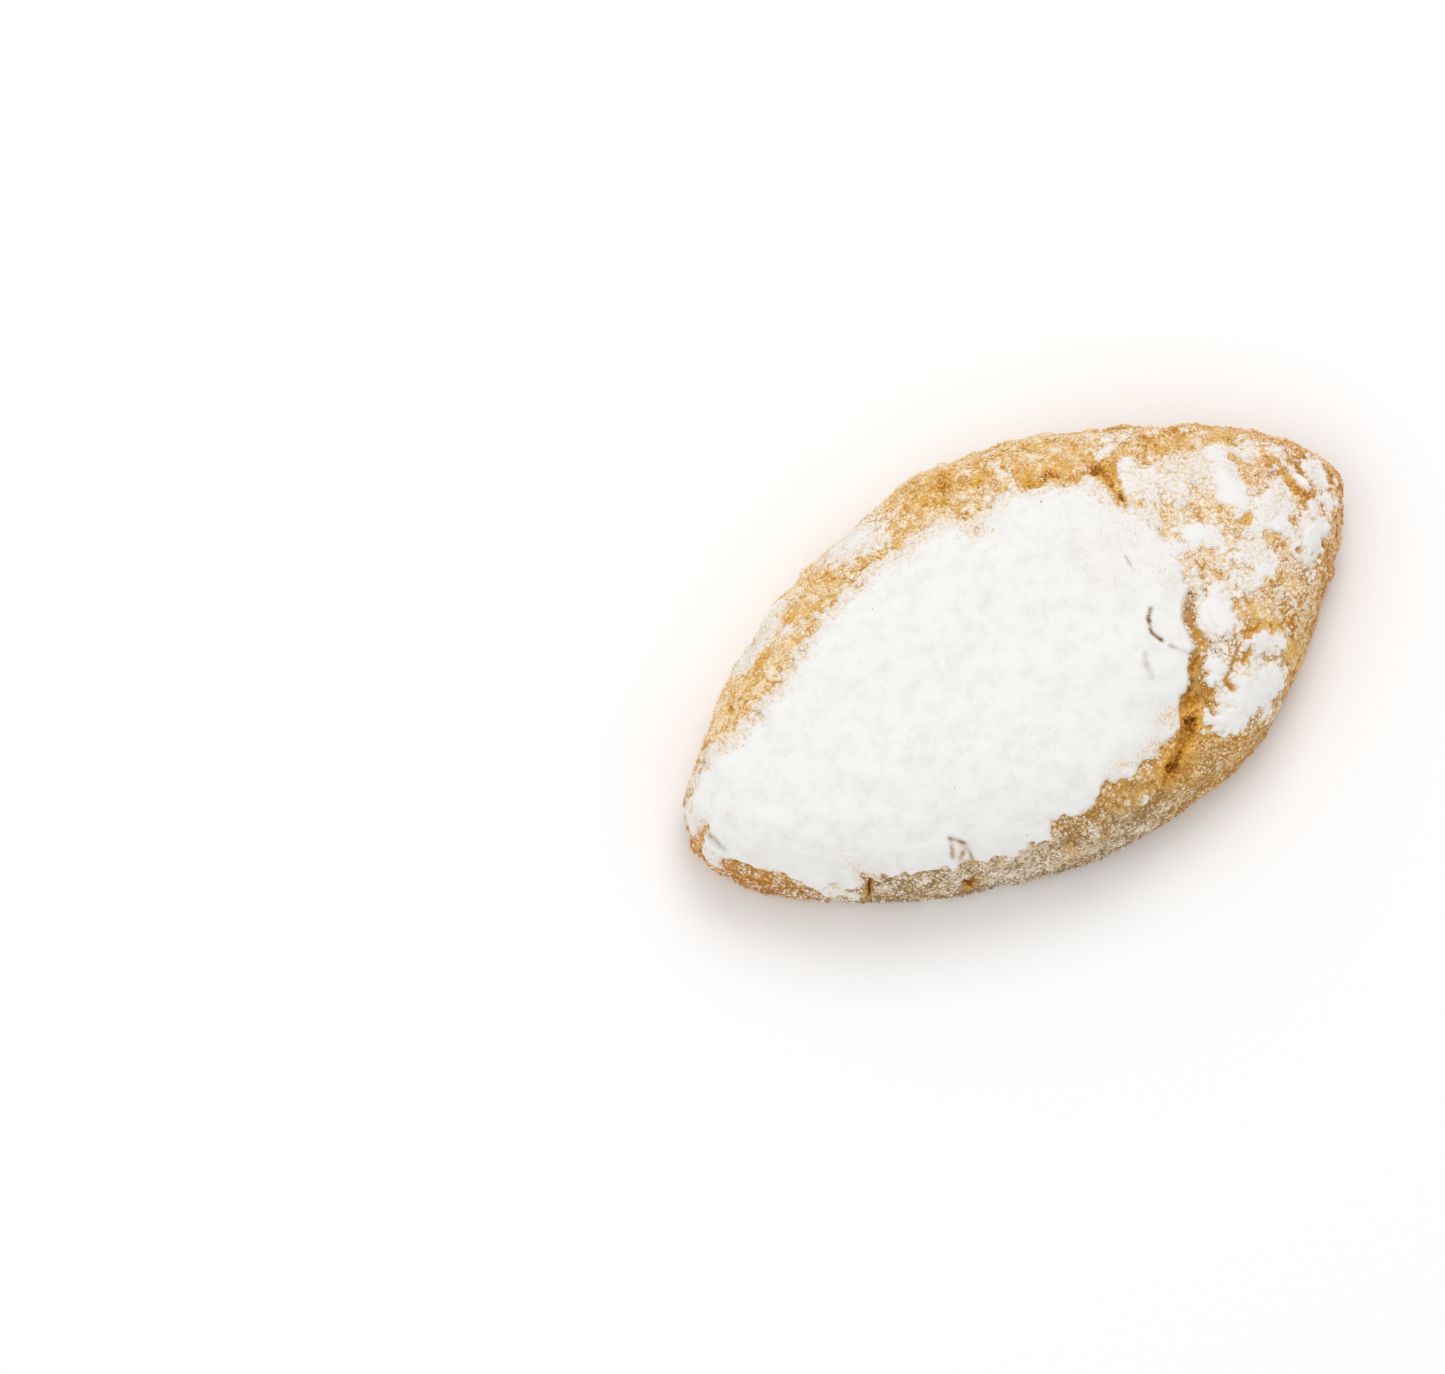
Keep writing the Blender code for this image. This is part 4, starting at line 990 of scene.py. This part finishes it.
def icosahedron():
    """Corners and faces of a ball of 20 triangles, radius 1: each face joins three corners a side apart."""
    golden = (1 + 5**0.5) / 2
    corners = [(a, b * golden, 0) for a in (-1, 1) for b in (-1, 1)]
    corners = np.array([np.roll(c, turn) for turn in range(3) for c in corners]) / np.hypot(1, golden)
    span = np.linalg.norm(corners[:, None] - corners[None], axis=-1)
    near = (span > 1e-6) & (span < span[span > 1e-6].min() * 1.01)
    faces = np.argwhere(near[:, :, None] & near[None] & near[:, None])
    faces = faces[(faces[:, 0] < faces[:, 1]) & (faces[:, 1] < faces[:, 2])]
    first, second, third = np.moveaxis(corners[faces], 1, 0)
    inward = np.sum(np.cross(second - first, third - first) * first, axis=-1) < 0
    faces[inward] = faces[inward][:, ::-1]
    return corners, faces


def scatter(count, weight, seed):
    """count random places on the biscuit's lattice, each as likely as its cell's area times weight."""
    random = np.random.default_rng(seed)
    step_i = crust_grid[1:, :-1] - crust_grid[:-1, :-1]
    step_j = crust_grid[:-1, 1:] - crust_grid[:-1, :-1]
    area = np.linalg.norm(np.cross(step_i, step_j), axis=-1)
    chance = (area * weight[:-1, :-1]).ravel()
    cell = random.choice(chance.size, count, p=chance / chance.sum())
    i, j = np.unravel_index(cell, area.shape)
    share_i = random.random((count, 1))
    share_j = random.random((count, 1))
    place = crust_grid[i, j] + step_i[i, j] * share_i + step_j[i, j] * share_j
    return place, normal_grid[i, j], i, j, random


def grain_mesh(name, place, normal, radius, sunk, random, attributes):
    """Joined irregular grains: stretched, dented and turned at random, and sunk partly into the crust."""
    corners, faces = icosahedron()
    count = len(place)
    axis = random.normal(size=(count, 4))
    w, x, y, z = (axis / np.linalg.norm(axis, axis=1, keepdims=True)).T
    turn = np.stack(
        [
            1 - 2 * (y * y + z * z), 2 * (x * y - z * w), 2 * (x * z + y * w),
            2 * (x * y + z * w), 1 - 2 * (x * x + z * z), 2 * (y * z - x * w),
            2 * (x * z - y * w), 2 * (y * z + x * w), 1 - 2 * (x * x + y * y),
        ],
        axis=-1,
    ).reshape(count, 3, 3)
    stretch = random.uniform(0.75, 1.25, (count, 1, 3))
    dent = random.uniform(0.82, 1.15, (count, 12, 1))
    shape = np.einsum("nij,nkj->nki", turn, corners[None] * stretch * dent)
    middle = place + normal * (radius * (1 - 2 * sunk))[:, None] + TO_ORIGIN
    points = (middle[:, None] + shape * radius[:, None, None]).reshape(-1, 3)
    points[:, 2] = np.maximum(points[:, 2], 0.0)
    rows = (faces[None] + 12 * np.arange(count)[:, None, None]).reshape(-1, 3)
    values = {label: np.repeat(value, 12) for label, value in attributes.items()}
    columns = int(np.ceil(np.sqrt(count)))
    home = np.stack([np.arange(count) % columns, np.arange(count) // columns], axis=-1)[:, None]
    spot = ((home + 0.5 + 0.4 * corners[None, :, :2]) / columns).reshape(-1, 2)
    return set_mesh(name, points, rows, values, spot[rows])


GRANULE_COUNT = 9500
GRANULE_SPREAD = 0.19  # how much larger than the finest the largest are, in radius
SIDE_LEVEL = 9.0  # granules below it belong to the side


def granule_material(name):
    """Almond and sugar grains: matt, one tone each from pale to deep gold, and white by as much as frost."""
    material, tree, shader = blank_material(name)
    tone, brown, dull, frost = (
        add(tree, "ShaderNodeAttribute", {"attribute_name": label}, "Fac")
        for label in ("tone", "brown", "dull", "frost")
    )
    surface, browned, dulled_and_shaded = (
        add(tree, "ShaderNodeValToRGB", {"Fac": tone, "stops": stops})
        for stops in (
            ((0.0, GOLD_PALE), (0.5, GOLD), (0.8, AMBER), (1.0, GOLD_DEEP)),
            ((0.0, BROWN_PALE), (0.5, BROWN), (1.0, BROWN_DEEP)),
            ((0.0, DULL_AND_SHADE_PALE), (0.6, DULL_AND_SHADE), (1.0, DULL_AND_SHADE_DEEP)),
        )
    )
    # The granules on the near side get the same painted shade as the crust round them
    for share, over in ((dull, dulled_and_shaded), (brown, browned), (frost, linear(DUST_THIN))):
        surface = add(tree, "ShaderNodeMix", {"data_type": "RGBA", "Factor": share, "A": surface, "B": over})
    fill(shader, {"Base Color": surface, "Roughness": 0.7, "Specular IOR Level": 0.3})
    return material


granule_finish = granule_material("almond and sugar granules")
grid_x, grid_y, grid_z = np.moveaxis(smooth_grid, -1, 0)
near_right = blend(13.0, 18.0, grid_x) * blend(-8.0, -13.0, grid_y)
bare = (sheet_on_grid < 0.25) * (1 - 0.75 * blend(0.2, 0.8, depth_grid)) * blend(0.1, 0.8, grid_z)
bare = bare * (0.35 + blend(-0.3, 0.5, noise(smooth_grid, 1.6, 73)))
bare = bare * (1 - 0.65 * near_right) * (1 - 0.85 * blend(0.45, 0.75, crust_dust))
for piece, seed, low, high, finest in (
    ("crust_granules_upper", 71, SIDE_LEVEL, HEIGHT, 0.10), ("crust_granules_side", 72, 0.0, SIDE_LEVEL, 0.08)
):
    place, normal, i, j, random = scatter(GRANULE_COUNT, bare * ((grid_z >= low) & (grid_z < high)), seed)
    radius = finest + GRANULE_SPREAD * random.random(GRANULE_COUNT) ** 2.4
    frost = (crust_dust[i, j] + random.normal(0, 0.14, GRANULE_COUNT) - 0.32) / 0.4
    less_frost = (0.24 + 0.61 * blend(5.0, 11.0, grid_z[i, j])) * (1 - 0.5 * near_right[i, j])
    granule_piece = grain_mesh(
        piece, place, normal, radius, 0.50 + 0.6 * (radius - 0.10), random,
        {
            # each granule's tone takes on the crust's painted shade and its amber hollows
            "tone": 0.7 * (random.random(GRANULE_COUNT) + crust_bake_and_shade[i, j]) + 1.6 * crust_moist_and_shade[i, j] - 0.1,
            "brown": brown_amount(smooth_grid[i, j]),
            "dull": dull_and_shade_amount(smooth_grid[i, j]),
            "frost": np.clip(frost, 0, 0.95) * less_frost,
        },
    )
    granule_piece.data.materials.append(granule_finish)
    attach(granule_piece, "root")


# ---------- Crumbs of sugar ----------
# Clots of powder that broke off the sheet and stuck where they fell: along its torn edge and over the
# dusted end, fewer on the sides.

CRUMB_COUNT = 3600
CRUMB_FINEST = 0.07  # radii of the crumbs, which most are near, and how much larger the largest are
CRUMB_SPREAD = 0.14
near_edge = bell(np.minimum(sheet_on_grid, 0), 1.3) * (sheet_on_grid < 0.2)
dusted = blend(0.25, 0.75, crust_dust) * (sheet_on_grid < 0.1)
crumb_weight = (0.5 * near_edge + 1.3 * dusted + 0.02) * blend(1.0, 5.0, grid_z)
crumb_weight = crumb_weight * (1 - blend(0.06, 0.22, crust_moist_and_shade))
place, normal, i, j, random = scatter(CRUMB_COUNT, crumb_weight, 81)
radius = CRUMB_FINEST + CRUMB_SPREAD * random.random(CRUMB_COUNT) ** 2.2
crumbs = grain_mesh(
    "icing_sugar_crumbs", place, normal, radius, np.full(CRUMB_COUNT, 0.45), random,
    {"thin": random.uniform(0.3, 0.9, CRUMB_COUNT), "vein": np.zeros(CRUMB_COUNT)},
)
crumbs.data.materials.append(icing_sugar)
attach(crumbs, "root")


# ---------- The table, the light and the camera ----------
# A white table under a large soft light above the far side, with white all round, as in a light tent.

TABLE_REACH = 1500.0
table_corners = TABLE_REACH * np.array([(-1, -1, 0), (1, -1, 0), (1, 1, 0), (-1, 1, 0)])
table = set_mesh("table", table_corners, np.array([[0, 1, 2, 3]]), {})
table_paint, _, table_shader = blank_material("matt white laminate")
fill(table_shader, {"Base Color": linear("#FFFFFF"), "Roughness": 1.0, "Specular IOR Level": 0.0})
table.data.materials.append(table_paint)

VIEW_AZIMUTH = np.radians(-30.0)
VIEW_ELEVATION = np.radians(75.0)
view_right = np.array([np.cos(VIEW_AZIMUTH), np.sin(VIEW_AZIMUTH), 0.0])
ground_up = np.array([-np.sin(VIEW_AZIMUTH), np.cos(VIEW_AZIMUTH), 0.0])
straight_up = np.array([0.0, 0.0, 1.0])
view_back = straight_up * np.sin(VIEW_ELEVATION) - ground_up * np.cos(VIEW_ELEVATION)
view_up = np.cross(view_back, view_right)


def stand(name, data, right, up, back, place):
    """A camera or a lamp, which looks along minus back: the columns of its matrix are these four."""
    obj = bpy.data.objects.new(name, data)
    bpy.context.scene.collection.objects.link(obj)
    obj.matrix_world = [(*right, 0), (*up, 0), (*back, 0), (*place, 1)]
    return obj


PHOTO_SIZE = (1445, 1374)
PIXELS_PER_MM = 9.3125
FOOT_MIDDLE_PIXEL = (1017.4, 674.6)  # where the middle of the foot is in the photograph
LENS = 500.0
SENSOR = 36.0
distance = LENS / SENSOR * PHOTO_SIZE[0] / PIXELS_PER_MM * MM
to_right = (PHOTO_SIZE[0] / 2 - FOOT_MIDDLE_PIXEL[0]) / PIXELS_PER_MM * MM
to_up = (FOOT_MIDDLE_PIXEL[1] - PHOTO_SIZE[1] / 2) / PIXELS_PER_MM * MM
aim = view_right * to_right + view_up * to_up
camera_data = bpy.data.cameras.new("camera")
camera_data.lens = LENS
camera_data.sensor_width = SENSOR
camera_data.clip_start = 0.01
camera_data.clip_end = 20.0
camera_place = aim + view_back * distance
bpy.context.scene.camera = stand("camera", camera_data, view_right, view_up, view_back, camera_place)

# Name, direction from the biscuit as (right, up in the picture's plane, height), distance, size, watts
LAMPS = (
    ("key", (0.12, 0.68, 1.08), 0.9, 0.55, 2.35),
    ("fill", (-0.6, -0.5, 1.1), 1.0, 0.9, 1.6),
)
for name, towards, far, size, watts in LAMPS:
    direction = towards @ np.stack([view_right, ground_up, straight_up])
    direction = direction / np.linalg.norm(direction)
    sideways = np.cross(straight_up, direction)
    sideways = sideways / np.linalg.norm(sideways)
    lamp = bpy.data.lights.new(name, "AREA")
    lamp.shape = "DISK"
    lamp.size = size
    lamp.energy = watts
    stand(name, lamp, sideways, np.cross(direction, sideways), direction, direction * far)

world = bpy.data.worlds.new("light tent")
world.use_nodes = True
fill(world.node_tree.nodes["Background"], {"Color": (1.0, 1.0, 1.0, 1.0), "Strength": 0.68})
bpy.context.scene.world = world
bpy.context.scene.view_settings.view_transform = "Standard"
